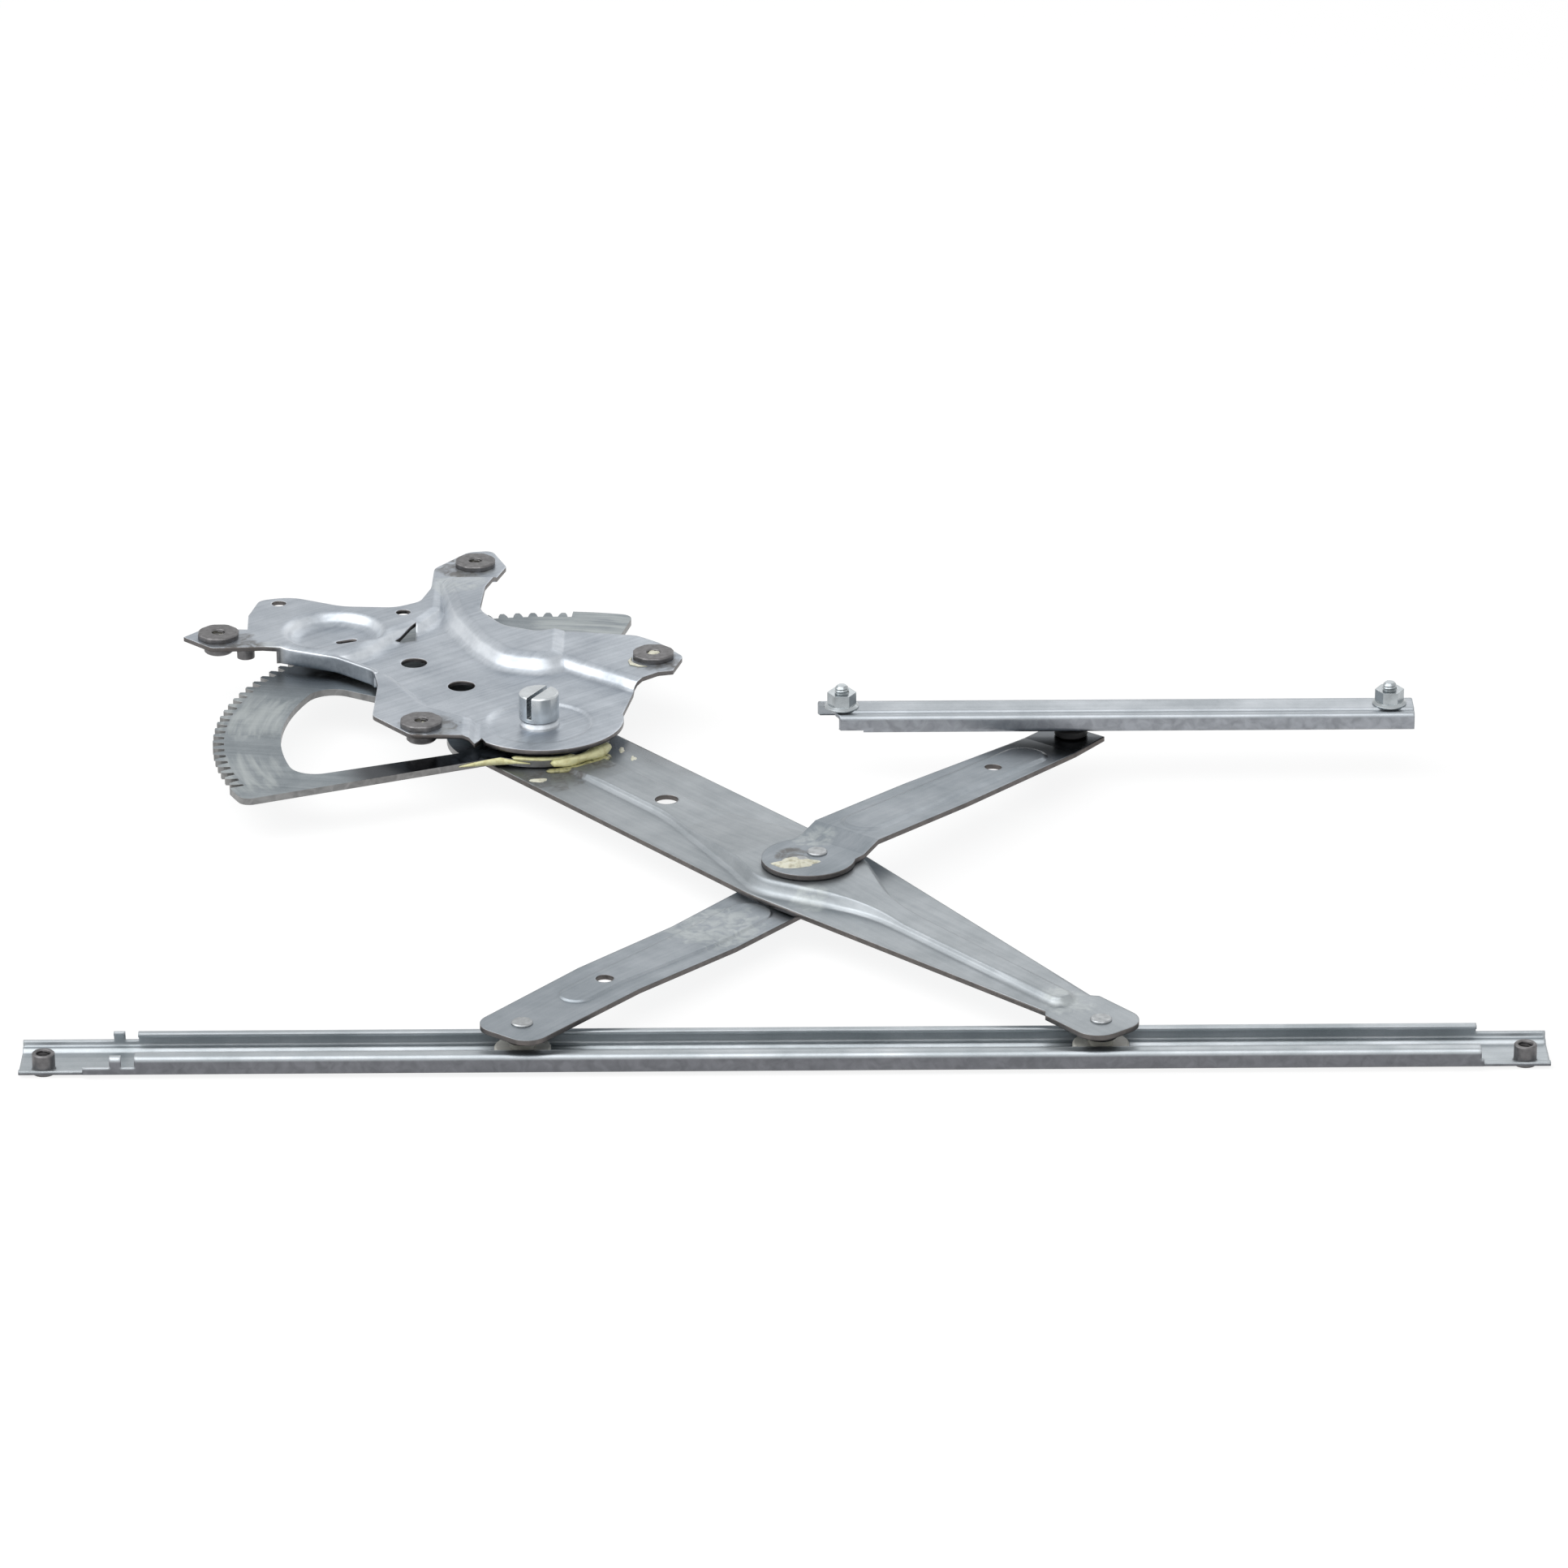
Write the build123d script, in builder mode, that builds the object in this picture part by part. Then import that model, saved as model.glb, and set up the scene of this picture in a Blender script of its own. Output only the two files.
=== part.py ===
from build123d import *
from math import cos, radians, sin, tan
import os

# A car door's window regulator of the scissor kind, lying flat as it does on a bench.
# Millimetres. +Z points away from the glass, +X runs along both rails and +Y points
# from the glass rail to the base plate. The origin is on the main pivot's axis, where
# the slotted post's head starts, just above the base plate's collar.
os.makedirs("parts", exist_ok=True)

# The linkage
half_arm = 169.8          # pivot to scissor joint, and scissor joint to each roller
arm_angle = 51.4          # slope of the arms against the rails as the part is stored
arm_sheet = 2.0           # thickness of all three arm pressings
hinge_gap = 0.4           # air between pressings that turn against each other
running_gap = 0.05        # radial play of a pin in its hole
post_gap = 0.3            # air between the post's head and the collar

# Heights that the linkage hangs from
collar_rise = 3.5         # the base plate's collar above the dish round it
gear_drop = 3.8           # from the dish down to the top of the sector gear
gear_thick = 2.8
root_pad_rise = 1.0       # the lift arm's pad under the gear, above its flanges
scissor_pad_rise = 5.2    # the lift arm's pad at the scissor joint, above its flanges

# Sector gear
tooth_module = 2.0
full_circle_teeth = 128
tooth_count = 42
first_tooth_angle = 87.0
blank_tip_step = 1.5      # the toothless ends stand this far past the pitch circle's tips
gear_hub_radius = 28.0
window_radius = 103.0     # outer wall of the lightening window
window_hub_radius = 37.0
window_corner = 11.0

# Lift arm
lift_half_width = 28.5
lift_tip_half_width = 11.0
lift_ear_half_width = 13.2
lift_root_radius = 28.5
lift_hole_radius = 4.6
lift_hole_along = 82.0
lift_web_steps = [(0.2, 55), (0.8, 30)]   # sides of its web, soft at the foot

# Equalizer, which is two pressings joined through the lift arm
equalizer_half_width = 15.3
equalizer_tip_half_width = 11.8
equalizer_disc_radius = 18.0
equalizer_web_half_width = 9.3
equalizer_web_rise = 0.8
upper_rise = 3.0          # how far the upper half steps up beside its disc
upper_tip_drop = 5.6      # from its disc down to its tip
lower_end_radius = 13.0
equalizer_hole_radius = 3.4
lower_hole_along, upper_hole_along = 47.5, 118.0
lower_end_corner = 8.5
upper_taper_start = 80.0

# Scissor joint
scissor_hub_radius = 10.5
hub_tenon_radius = 3.3
hub_tenon_spacing = 11.0
rivet_head_rise = 0.8

# Base plate
plate_sheet = 1.8
# Sides of its forms in three steps, soft at the foot and at the crest: each step's share of
# the rise, and its lean from upright in degrees
flank_steps = [(0.2, 60), (0.55, 40), (0.25, 66)]
dish_radius = 20.0
dish_depth = 1.2
collar_radius = 7.7
pivot_radius = 6.0
bush_wall = 1.0
plateau_rise = 4.7        # tabs and motor side above the floor
ridge_rise = 6.8          # stiffening ridge above the floor
motor_dish_radius = 21.0
motor_dish_x, motor_dish_y = -86.0, 88.0
motor_dish_chord = 15.5   # from its centre to the straight front wall
motor_dish_corner = 7.0
curtain_drop = 6.6        # the down-turned edge in front of the motor dish
weld_nut_radius = 8.5
weld_nut_flat = 8.2       # centre to the flats on its octagonal rim
weld_nut_disc = 2.4
weld_nut_barrel_radius = 6.0
weld_nut_projection = 4.5
m6_minor_radius = 2.6
post_radius = 8.0
post_height = 10.6
post_slot_width = 2.1
post_slot_depth = 9.0
post_slot_angle = 61.0

# Glass rail, open upwards
rail_sheet = 1.4
glass_rail_drop = 27.0    # from the origin down to its underside, which the part lies on
glass_rail_width = 25.0
glass_rail_height = 8.56
glass_front_lip = 5.1
glass_back_lip = 4.1
glass_strip_half = 8.0    # the sunk strip along the middle of its floor
glass_strip_step = 1.2
glass_left, glass_right = -184.0, 376.0
glass_channel_left, glass_channel_right = -141.4, 350.4
glass_low_wall = 4.6
barrel_nut_radius = 4.2
barrel_nut_height = 6.6
glass_nut_inset = 9.0

# Guide rail, open downwards
guide_top = 3.7           # its raised strip above the origin
guide_width = 18.0
guide_height = 7.4        # without the raised strip
guide_lip = 4.2
guide_strip_half = 4.4
guide_strip_step = 0.8
guide_left, guide_right = 111.0, 348.0
guide_chamfer = 9.0
stud_inset = 9.5
stud_radius = 3.0
stud_past_nut = 3.0
stud_end_radius = 2.5     # its unthreaded end, past the nut
flange_nut_height = 6.1
flange_nut_across_flats = 10.0
flange_nut_flange_radius = 6.8
flange_nut_flange = 1.3

# Rollers
roller_play = 0.34
glass_roller_radius = 10.4
guide_roller_radius = 7.2
pin_radius = 2.75
pin_head_radius = 4.0
ring_radius = 6.6
ring_thick = 3.4
ring_boss_wall = 1.6
neck_past_lip = 0.6       # the roller's neck stands out of the rail by this much
roller_neck_radius = 4.5
pin_foot = 0.6            # head that keeps the roller on, in the rail's sunk strip

# Worked-out heights
dish_top = -collar_rise
floor_top = dish_top + dish_depth
plateau_top = floor_top + plateau_rise
gear_top = dish_top - gear_drop
gear_bottom = gear_top - gear_thick
flange_top = gear_bottom - root_pad_rise
flange_bottom = flange_top - arm_sheet
scissor_pad_top = flange_top + scissor_pad_rise
upper_disc_top = scissor_pad_top + hinge_gap + arm_sheet
lower_pad_top = scissor_pad_top - arm_sheet - hinge_gap
lower_flange_top = flange_bottom - hinge_gap - equalizer_web_rise
upper_tip_top = upper_disc_top - upper_tip_drop

glass_bottom = -glass_rail_drop
glass_top = glass_bottom + glass_rail_height
glass_roller_low = glass_bottom + rail_sheet + glass_strip_step + roller_play
glass_roller_high = glass_top - rail_sheet - roller_play
guide_shoulder = guide_top - guide_strip_step
guide_bottom = guide_shoulder - guide_height
guide_roller_low = guide_bottom + rail_sheet + roller_play
guide_roller_high = guide_shoulder - rail_sheet - roller_play

# Worked-out places in plan
cos_arm, sin_arm = cos(radians(arm_angle)), sin(radians(arm_angle))
scissor_x, scissor_y = half_arm * cos_arm, -half_arm * sin_arm
glass_y = 2 * scissor_y
lift_tip_x = 2 * scissor_x
along_lift = (cos_arm, -sin_arm, 0)
along_equalizer = (cos_arm, sin_arm, 0)
upward = (0, 0, 1)

lift_frame = Plane(origin=(0, 0, 0), x_dir=along_lift, z_dir=upward)
upper_frame = Plane(origin=(scissor_x, scissor_y, 0), x_dir=along_equalizer, z_dir=upward)
lower_frame = Plane(origin=(0, glass_y, 0), x_dir=along_equalizer, z_dir=upward)
deep = 60.0               # deeper than the whole part, for tools that cut right through


def side_plane(frame):
    """The upright plane along an arm: its x runs along the arm and its y is height."""
    return Plane(origin=frame.origin, x_dir=frame.x_dir, z_dir=-frame.y_dir)


def outline(points, rounds=()):
    """A closed face through points; rounds lists (point number, corner radius)."""
    with BuildSketch(Plane.XY, mode=Mode.PRIVATE) as shape:
        with BuildLine():
            Polyline(*points, close=True)
        make_face()
        for number, radius in rounds:
            x, y = points[number]
            corner = shape.vertices().sort_by_distance((x, y, 0))[0]
            fillet(corner, radius)
    return shape.sketch


def sloped(region, plane, rise, steps):
    """A form that rises (or sinks) from a plane, its sides leaning by (share, lean) steps."""
    with BuildPart(mode=Mode.PRIVATE) as block:
        level, inset = 0.0, 0.0
        for share, lean in steps:
            with BuildSketch(plane.offset(level)):
                if inset:
                    add(offset(region, amount=-inset, kind=Kind.INTERSECTION, mode=Mode.PRIVATE))
                else:
                    add(region)
            extrude(amount=rise * share, taper=lean)
            level += rise * share
            inset += abs(rise) * share * tan(radians(lean))
    return block.part


def pressed(form, sheet, blank):
    """The sheet that a press leaves over a form, trimmed to its blank."""
    with BuildPart(mode=Mode.PRIVATE) as pressing:
        add(form)
        add(Location((0, 0, -sheet)) * form, mode=Mode.SUBTRACT)
        add(blank, mode=Mode.INTERSECT)
    return pressing.part


# Base plate outline, seen from above, with each corner's rounding
plate_points = [
    (-147.0, 81.0), (-135.0, 69.0), (-107.0, 70.5), (-84.0, 60.5), (-68.0, 46.0),
    (-65.5, 28.0), (-66.2, -3.6), (-50.3, -23.5), (-25.0, -24.0), (-22.5, -16.0),
]
dish_edge_start = (-20.8, -20.2)
dish_edge_low = (6.0, -29.0)
dish_edge_end = (33.2, 8.0)
plate_back_points = [
    (37.5, 32.0), (47.0, 40.5), (53.0, 42.0), (57.0, 57.0), (47.0, 72.0), (38.0, 80.0),
    (8.0, 85.5), (-2.0, 80.0), (-17.0, 87.0), (-27.0, 104.0), (-25.5, 130.0), (-17.5, 157.5),
    (-24.0, 176.0), (-34.0, 174.5), (-47.5, 156.0), (-48.0, 134.0), (-52.0, 119.0),
    (-62.0, 112.5), (-84.0, 114.0), (-106.0, 125.0), (-118.5, 121.0), (-122.0, 104.0),
    (-121.5, 89.0), (-139.5, 90.0),
]
plate_rounds = [(1, 4), (3, 18), (4, 8), (6, 5), (7, 6)]
plate_back_rounds = [
    (1, 3), (3, 5), (4, 5), (5, 9), (6, 14), (7, 8), (8, 12), (9, 16), (10, 14), (11, 3),
    (12, 4), (13, 7), (14, 8), (15, 14), (16, 7), (17, 12), (18, 20), (19, 16), (20, 5),
    (23, 4),
]
weld_nut_places = {
    "left": (-132.8, 81.0), "back": (-30.5, 159.5), "front": (-46.4, -13.5), "right": (44.9, 56.6),
}
large_holes = [(-52.4, 63.2, 5.3), (-32.3, 38.2, 5.5)]
motor_screw_holes = [(-58.5, 107.0), (-110.2, 117.5)]
motor_screw_radius = 3.0
motor_chord_angle = 23.0  # slope of the motor dish's straight wall
motor_slot = (-81.0, 87.0, 9.0, 3.0)
lanced_hole = [(-61.0, 84.5), (-52.8, 87.2), (-52.8, 98.0)]
motor_nut_x, motor_nut_y = -121.5, 76.0
motor_nut_radius = 3.6
motor_nut_bore = 2.1
motor_nut_collar, motor_nut_collar_height = 1.4, 1.2
motor_nut_projection = 5.0

with BuildSketch(Plane.XY) as plate_blank:
    with BuildLine():
        Polyline(*plate_points, dish_edge_start)
        ThreePointArc(dish_edge_start, dish_edge_low, dish_edge_end)
        Polyline(dish_edge_end, *plate_back_points, plate_points[0])
    make_face()
    for points, rounds in ((plate_points, plate_rounds), (plate_back_points, plate_back_rounds)):
        for number, radius in rounds:
            x, y = points[number]
            fillet(plate_blank.vertices().sort_by_distance((x, y, 0))[0], radius)

# The form the plate is pressed over: floor, plateaus, tabs and ridge, with sloped sides
motor_side = outline(
    [(-175, 60), (-120, 62), (-104, 66), (-82, 56), (-70, 66), (-58, 86), (-48, 96), (-40, 112),
     (-40, 150), (-175, 150)],
    [(2, 10), (3, 14), (4, 14), (5, 8)],
)
front_tab = outline(
    [(-90, -60), (-23.5, -60), (-23.5, -2), (-43, 12), (-51, 30), (-60, 46), (-90, 52)],
    [(3, 12), (4, 14), (5, 10)],
)
back_tab = outline([(-60, 136), (0, 136), (0, 200), (-60, 200)])
right_tab = outline([(-2, 62), (14, 47.5), (44, 24), (80, 20), (80, 110), (-2, 110)], [(1, 30)])
ridge = outline(
    [(-51, 150), (-42, 100), (-31, 72), (-19, 53), (2, 47), (13, 56), (14, 110), (-5, 110), (-3, 150)],
    [(0, 12), (1, 30), (2, 25), (3, 20), (4, 14), (5, 12), (8, 12)],
)

with BuildSketch() as motor_dish:
    with Locations(Location((motor_dish_x, motor_dish_y, 0), (0, 0, motor_chord_angle))):
        Circle(motor_dish_radius)
        with Locations((0, motor_dish_radius - motor_dish_chord)):
            Rectangle(3 * motor_dish_radius, 2 * motor_dish_radius, mode=Mode.INTERSECT)
    fillet(motor_dish.vertices(), motor_dish_corner)

floor_plane = Plane.XY.offset(floor_top)
with BuildPart() as plate_form:
    with BuildSketch(floor_plane):
        Rectangle(400, 500)
    extrude(amount=-deep)
    for region in (motor_side, front_tab, back_tab, right_tab):
        add(sloped(region, floor_plane, plateau_rise, flank_steps))
    add(sloped(ridge, floor_plane, ridge_rise, flank_steps))
    add(
        sloped(motor_dish.sketch, Plane.XY.offset(plateau_top), -plateau_rise, flank_steps),
        mode=Mode.SUBTRACT,
    )
    with BuildSketch(floor_plane):
        Circle(dish_radius + dish_depth)
    extrude(amount=-dish_depth, taper=45, mode=Mode.SUBTRACT)

with BuildPart() as plate_prism:
    with BuildSketch(Plane.XY.offset(-deep)):
        add(plate_blank.sketch)
    extrude(amount=2 * deep)

with BuildPart() as base_plate:
    add(pressed(plate_form.part, plate_sheet, plate_prism.part))
    # The edge in front of the motor dish is turned down
    with BuildSketch(Plane.XY.offset(plateau_top - plate_sheet / 2)):
        add(plate_blank.sketch)
        offset(plate_blank.sketch, amount=-plate_sheet, mode=Mode.SUBTRACT)
        with BuildLine():
            Polyline((-118, 60), (-104, 60), (-80, 44), (-62, 44), (-74, 62), (-100, 80), close=True)
        make_face(mode=Mode.INTERSECT)
    extrude(amount=-curtain_drop)
    # Collar drawn up round the main pivot
    with BuildSketch(Plane.XY.offset(dish_top - plate_sheet)):
        Circle(collar_radius)
    extrude(amount=collar_rise + plate_sheet - post_gap)
    with BuildSketch(Plane.XY.offset(-deep)):
        Circle(pivot_radius + bush_wall)
        for x, y, radius in large_holes:
            with Locations((x, y)):
                Circle(radius)
        with Locations(*motor_screw_holes):
            Circle(motor_screw_radius)
        with Locations(*weld_nut_places.values()):
            Circle(weld_nut_barrel_radius)
        with Locations(Location((motor_slot[0], motor_slot[1], 0), (0, 0, motor_chord_angle))):
            SlotOverall(motor_slot[2], motor_slot[3])
        with BuildLine():
            Polyline(*lanced_hole, close=True)
        make_face()
    extrude(amount=2 * deep, mode=Mode.SUBTRACT)
base_plate.part.label = "base_plate"
export_step(base_plate.part, "parts/base_plate.step")

# Bush pressed into the collar, with a flange that spaces the gear off the plate
bush_flange_radius = 12.0
bush_flange = gear_drop - plate_sheet - hinge_gap
with BuildPart() as pivot_bush:
    with BuildSketch(Plane.XY.offset(dish_top - plate_sheet - bush_flange)):
        Circle(bush_flange_radius)
    extrude(amount=bush_flange)
    with BuildSketch(Plane.XY.offset(dish_top - plate_sheet)):
        Circle(pivot_radius + bush_wall)
    extrude(amount=collar_rise + plate_sheet - post_gap)
    with BuildSketch(Plane.XY.offset(-deep)):
        Circle(pivot_radius + running_gap)
    extrude(amount=2 * deep, mode=Mode.SUBTRACT)
pivot_bush.part.label = "pivot_bush"
export_step(pivot_bush.part, "parts/pivot_bush.step")

# Weld nuts, each an octagonal disc on the plate with a threaded barrel through it
for place, (nut_x, nut_y) in weld_nut_places.items():
    with BuildPart() as weld_nut:
        with BuildSketch(Plane.XY.offset(plateau_top)):
            with Locations((nut_x, nut_y)):
                Circle(weld_nut_radius)
                RegularPolygon(
                    weld_nut_flat, 8, major_radius=False, rotation=22.5, mode=Mode.INTERSECT,
                )
        extrude(amount=weld_nut_disc)
        chamfer(weld_nut.faces().sort_by(Axis.Z)[-1].outer_wire().edges(), 0.5)
        with BuildSketch(Plane.XY.offset(plateau_top)):
            with Locations((nut_x, nut_y)):
                Circle(weld_nut_barrel_radius)
        extrude(amount=-plate_sheet - weld_nut_projection)
        chamfer(weld_nut.faces().sort_by(Axis.Z)[0].edges(), 0.6)
        with BuildSketch(Plane.XY.offset(-deep)):
            with Locations((nut_x, nut_y)):
                Circle(m6_minor_radius)
        extrude(amount=2 * deep, mode=Mode.SUBTRACT)
        rims = weld_nut.edges().filter_by(GeomType.CIRCLE)
        chamfer(rims.filter_by(lambda rim: abs(rim.radius - m6_minor_radius) < 0.01), 0.5)
    weld_nut.part.label = f"weld_nut_{place}"
    export_step(weld_nut.part, f"parts/weld_nut_{place}.step")

# Nut welded under the plate for the motor's third screw, open downwards
motor_nut_top = plateau_top - plate_sheet
with BuildPart() as motor_nut:
    with BuildSketch(Plane.XY.offset(motor_nut_top)):
        with Locations((motor_nut_x, motor_nut_y)):
            Circle(motor_nut_radius)
            Circle(motor_nut_bore, mode=Mode.SUBTRACT)
    extrude(amount=-motor_nut_projection)
    with BuildSketch(Plane.XY.offset(motor_nut_top)):
        with Locations((motor_nut_x, motor_nut_y)):
            Circle(motor_nut_radius + motor_nut_collar)
            Circle(motor_nut_bore, mode=Mode.SUBTRACT)
    extrude(amount=-motor_nut_collar_height)
motor_nut.part.label = "motor_nut"
export_step(motor_nut.part, "parts/motor_nut.step")

# Sector gear: a wedge of the blank, minus the tooth band, plus the teeth one by one
pitch_radius = tooth_module * full_circle_teeth / 2
tip_radius = pitch_radius + tooth_module
root_radius = pitch_radius - 1.25 * tooth_module
blank_radius = tip_radius + blank_tip_step
pitch_angle = 360 / full_circle_teeth
last_tooth_angle = first_tooth_angle + (tooth_count - 1) * pitch_angle


def polar(radius, angle):
    return (radius * cos(radians(angle)), radius * sin(radians(angle)))


right_edge_angle = 75.6
# Half of a tooth's width at its foot, on the pitch circle and at its tip, as angles
foot_half, pitch_half, tip_half = 0.33 * pitch_angle, pitch_angle / 4, 0.12 * pitch_angle
with BuildSketch() as tooth:
    with BuildLine():
        Polyline(
            polar(root_radius - 1, -foot_half), polar(root_radius, -foot_half),
            polar(pitch_radius, -pitch_half), polar(tip_radius, -tip_half),
            polar(tip_radius, tip_half), polar(pitch_radius, pitch_half),
            polar(root_radius, foot_half), polar(root_radius - 1, foot_half),
            close=True,
        )
    make_face()

with BuildSketch(Plane.XY.offset(gear_bottom)) as gear_face:
    Circle(blank_radius)
    with BuildLine():
        Polyline(
            (gear_hub_radius, 0), polar(110, right_edge_angle - 2.0), polar(160, right_edge_angle - 1.0),
            (-90, 170), (-180, 60), (-190, -30), (-135, -74.0), (-4, -19.5),
            close=True,
        )
    make_face(mode=Mode.INTERSECT)
    Circle(gear_hub_radius)
    corners = gear_face.vertices().filter_by(lambda v: v.center().length > blank_radius - 1)
    fillet(corners, 5.0)
    # Room for the teeth
    with BuildLine():
        start, end = first_tooth_angle - pitch_angle * 0.6, last_tooth_angle + pitch_angle * 0.6
        middle = (start + end) / 2
        ThreePointArc(polar(root_radius, start), polar(root_radius, middle), polar(root_radius, end))
        Line(polar(root_radius, end), polar(blank_radius + 5, end))
        ThreePointArc(
            polar(blank_radius + 5, end), polar(blank_radius + 5, middle), polar(blank_radius + 5, start)
        )
        Line(polar(blank_radius + 5, start), polar(root_radius, start))
    make_face(mode=Mode.SUBTRACT)
    with PolarLocations(0, tooth_count, first_tooth_angle, tooth_count * pitch_angle):
        add(tooth.sketch)

# The window is a wedge between the radial cut, the spoke and the toothed rim
window_top_angle = 149.5
with BuildSketch(Plane.XY.offset(gear_bottom)) as gear_window:
    Circle(window_radius)
    Circle(window_hub_radius, mode=Mode.SUBTRACT)
    with BuildLine():
        Polyline(
            polar(20, window_top_angle), polar(160, window_top_angle), (-160, 40), (-160, -68.0),
            (-20, -15.3),
            close=True,
        )
    make_face(mode=Mode.INTERSECT)
    rim_corners = gear_window.vertices().filter_by(lambda v: v.center().length > window_radius - 1)
    hub_corners = gear_window.vertices().filter_by(lambda v: v.center().length < window_radius - 1)
    fillet(rim_corners, window_corner)
    fillet(hub_corners, window_corner / 4)

sector_rivet_places = [(20.0, 0), (-13.5, 15.5), (-13.5, -15.5)]
sector_rivet_radius = 3.0
with BuildPart() as sector_gear:
    add(gear_face.sketch)
    extrude(amount=gear_thick)
    add(gear_window.sketch)
    extrude(amount=gear_thick, mode=Mode.SUBTRACT)
    with BuildSketch(Plane.XY.offset(gear_bottom)):
        Circle(pivot_radius)
    extrude(amount=gear_thick, mode=Mode.SUBTRACT)
    with BuildSketch(lift_frame.offset(gear_bottom)):
        with Locations(*sector_rivet_places):
            Circle(sector_rivet_radius)
    extrude(amount=gear_thick, mode=Mode.SUBTRACT)
sector_gear.part.label = "sector_gear"
export_step(sector_gear.part, "parts/sector_gear.step")

# Lift arm: flanges at one height, with a pad at the pivot, one at the scissor joint and
# a web that runs through both and dies out at the tip
full_arm = 2 * half_arm
tip_end = full_arm + 12.0
ear_start = full_arm - 18.5
lift_points = [
    (0, -lift_half_width), (half_arm, -lift_half_width), (ear_start, -lift_tip_half_width),
    (ear_start + 2.5, -lift_ear_half_width), (tip_end, -lift_ear_half_width),
    (tip_end, lift_ear_half_width), (ear_start + 2.5, lift_ear_half_width),
    (ear_start, lift_tip_half_width), (half_arm, lift_half_width), (0, lift_half_width),
]
lift_outline = outline(lift_points, [(1, 60), (4, 9.5), (5, 9.5), (8, 60)])
root_pad_radius = 26.0
web_root_half, web_tip_half = 9.6, 6.2
web_pad_half = 25.5
web_end = ear_start + 1.0
lift_web_points = [
    (0, -web_root_half), (92, -web_root_half), (half_arm - 22, -web_pad_half + 4),
    (half_arm, -web_pad_half - 2), (half_arm + 20, -web_pad_half + 7), (half_arm + 44, -web_tip_half - 1),
    (web_end, -web_tip_half), (web_end, web_tip_half), (half_arm + 44, web_tip_half + 1),
    (half_arm + 20, web_pad_half - 7), (half_arm, web_pad_half + 2), (half_arm - 22, web_pad_half - 4),
    (92, web_root_half), (0, web_root_half),
]
lift_web = outline(
    lift_web_points,
    [(1, 80), (2, 60), (3, 22), (4, 40), (5, 60), (6, 5.5), (7, 5.5), (8, 60), (9, 40), (10, 22),
     (11, 60), (12, 80)],
)
web_tip_rise = 2.4       # the web's rise away from the scissor joint
with BuildPart() as lift_form:
    with BuildSketch(lift_frame.offset(-deep)):
        Rectangle(1000, 200)
    extrude(amount=deep + flange_top)
    with BuildSketch(lift_frame.offset(flange_top)):
        Circle(root_pad_radius)
    extrude(amount=root_pad_rise, taper=40)
    # The web's crest climbs from the root pad to the scissor pad and sinks to the tip
    web_tool = sloped(lift_web, lift_frame.offset(flange_top), scissor_pad_rise, lift_web_steps)
    with BuildPart(mode=Mode.PRIVATE) as crest_tool:
        with BuildSketch(side_plane(lift_frame)):
            with BuildLine():
                Polyline(
                    (-60, flange_top + root_pad_rise), (30, flange_top + root_pad_rise),
                    (50, flange_top + web_tip_rise), (half_arm - 62, flange_top + web_tip_rise),
                    (half_arm - 24, scissor_pad_top), (half_arm + 24, scissor_pad_top),
                    (half_arm + 62, flange_top + web_tip_rise), (web_end + 30, flange_top + web_tip_rise),
                    (web_end + 30, -deep), (-60, -deep),
                    close=True,
                )
            make_face()
        extrude(amount=100, both=True)
    add(web_tool & crest_tool.part)

with BuildPart() as lift_prism:
    with BuildSketch(lift_frame.offset(-deep)):
        add(lift_outline)
        Circle(lift_root_radius)
    extrude(amount=2 * deep)

with BuildPart() as lift_arm:
    add(pressed(lift_form.part, arm_sheet, lift_prism.part))
    with BuildSketch(lift_frame.offset(-deep)):
        Circle(pivot_radius)
        with Locations(*sector_rivet_places):
            Circle(sector_rivet_radius)
        with Locations((lift_hole_along, 0)):
            Circle(lift_hole_radius)
        with Locations((half_arm, 0)):
            Circle(scissor_hub_radius + running_gap)
        with Locations((full_arm, 0)):
            Circle(pin_radius)
    extrude(amount=2 * deep, mode=Mode.SUBTRACT)
lift_arm.part.label = "lift_arm"
export_step(lift_arm.part, "parts/lift_arm.step")

# Post with a slot for the balance spring, on the shaft that turns in the base plate
shaft_foot = gear_bottom - arm_sheet
with BuildPart() as spring_post:
    with BuildSketch():
        Circle(post_radius)
    extrude(amount=post_height)
    chamfer(spring_post.faces().sort_by(Axis.Z)[-1].edges(), 0.5)
    with BuildSketch(Plane.XY.rotated((0, 0, post_slot_angle)).offset(post_height)):
        Rectangle(3 * post_radius, post_slot_width)
    extrude(amount=-post_slot_depth, mode=Mode.SUBTRACT)
    with BuildSketch():
        Circle(pivot_radius)
    extrude(amount=shaft_foot)
    # Foot spun over the lift arm's underside
    with BuildSketch(Plane.XY.offset(shaft_foot)):
        Circle(pivot_radius + 2.0)
    extrude(amount=-rivet_head_rise)
    chamfer(spring_post.faces().sort_by(Axis.Z)[0].edges(), 0.4)
spring_post.part.label = "spring_post"
export_step(spring_post.part, "parts/spring_post.step")


def rivet(frame, places, radius, low, high, head_radius):
    """Rivets through a stack of sheets, with a low head on each side."""
    with BuildPart(mode=Mode.PRIVATE) as rivets:
        for level, reach, width in (
            (low, high - low, radius), (high, rivet_head_rise, head_radius),
            (low, -rivet_head_rise, head_radius),
        ):
            with BuildSketch(frame.offset(level)):
                with Locations(*places):
                    Circle(width)
            extrude(amount=reach)
        outer_rims = rivets.edges().filter_by(
            lambda edge: edge.geom_type == GeomType.CIRCLE
            and (edge.center().Z > high + 0.01 or edge.center().Z < low - 0.01)
        )
        chamfer(outer_rims, rivet_head_rise / 2)
    return rivets.part


sector_rivets = rivet(
    lift_frame, sector_rivet_places, sector_rivet_radius, gear_bottom - arm_sheet, gear_top, 4.2
)
sector_rivets.label = "sector_rivets"
export_step(sector_rivets, "parts/sector_rivets.step")

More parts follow.
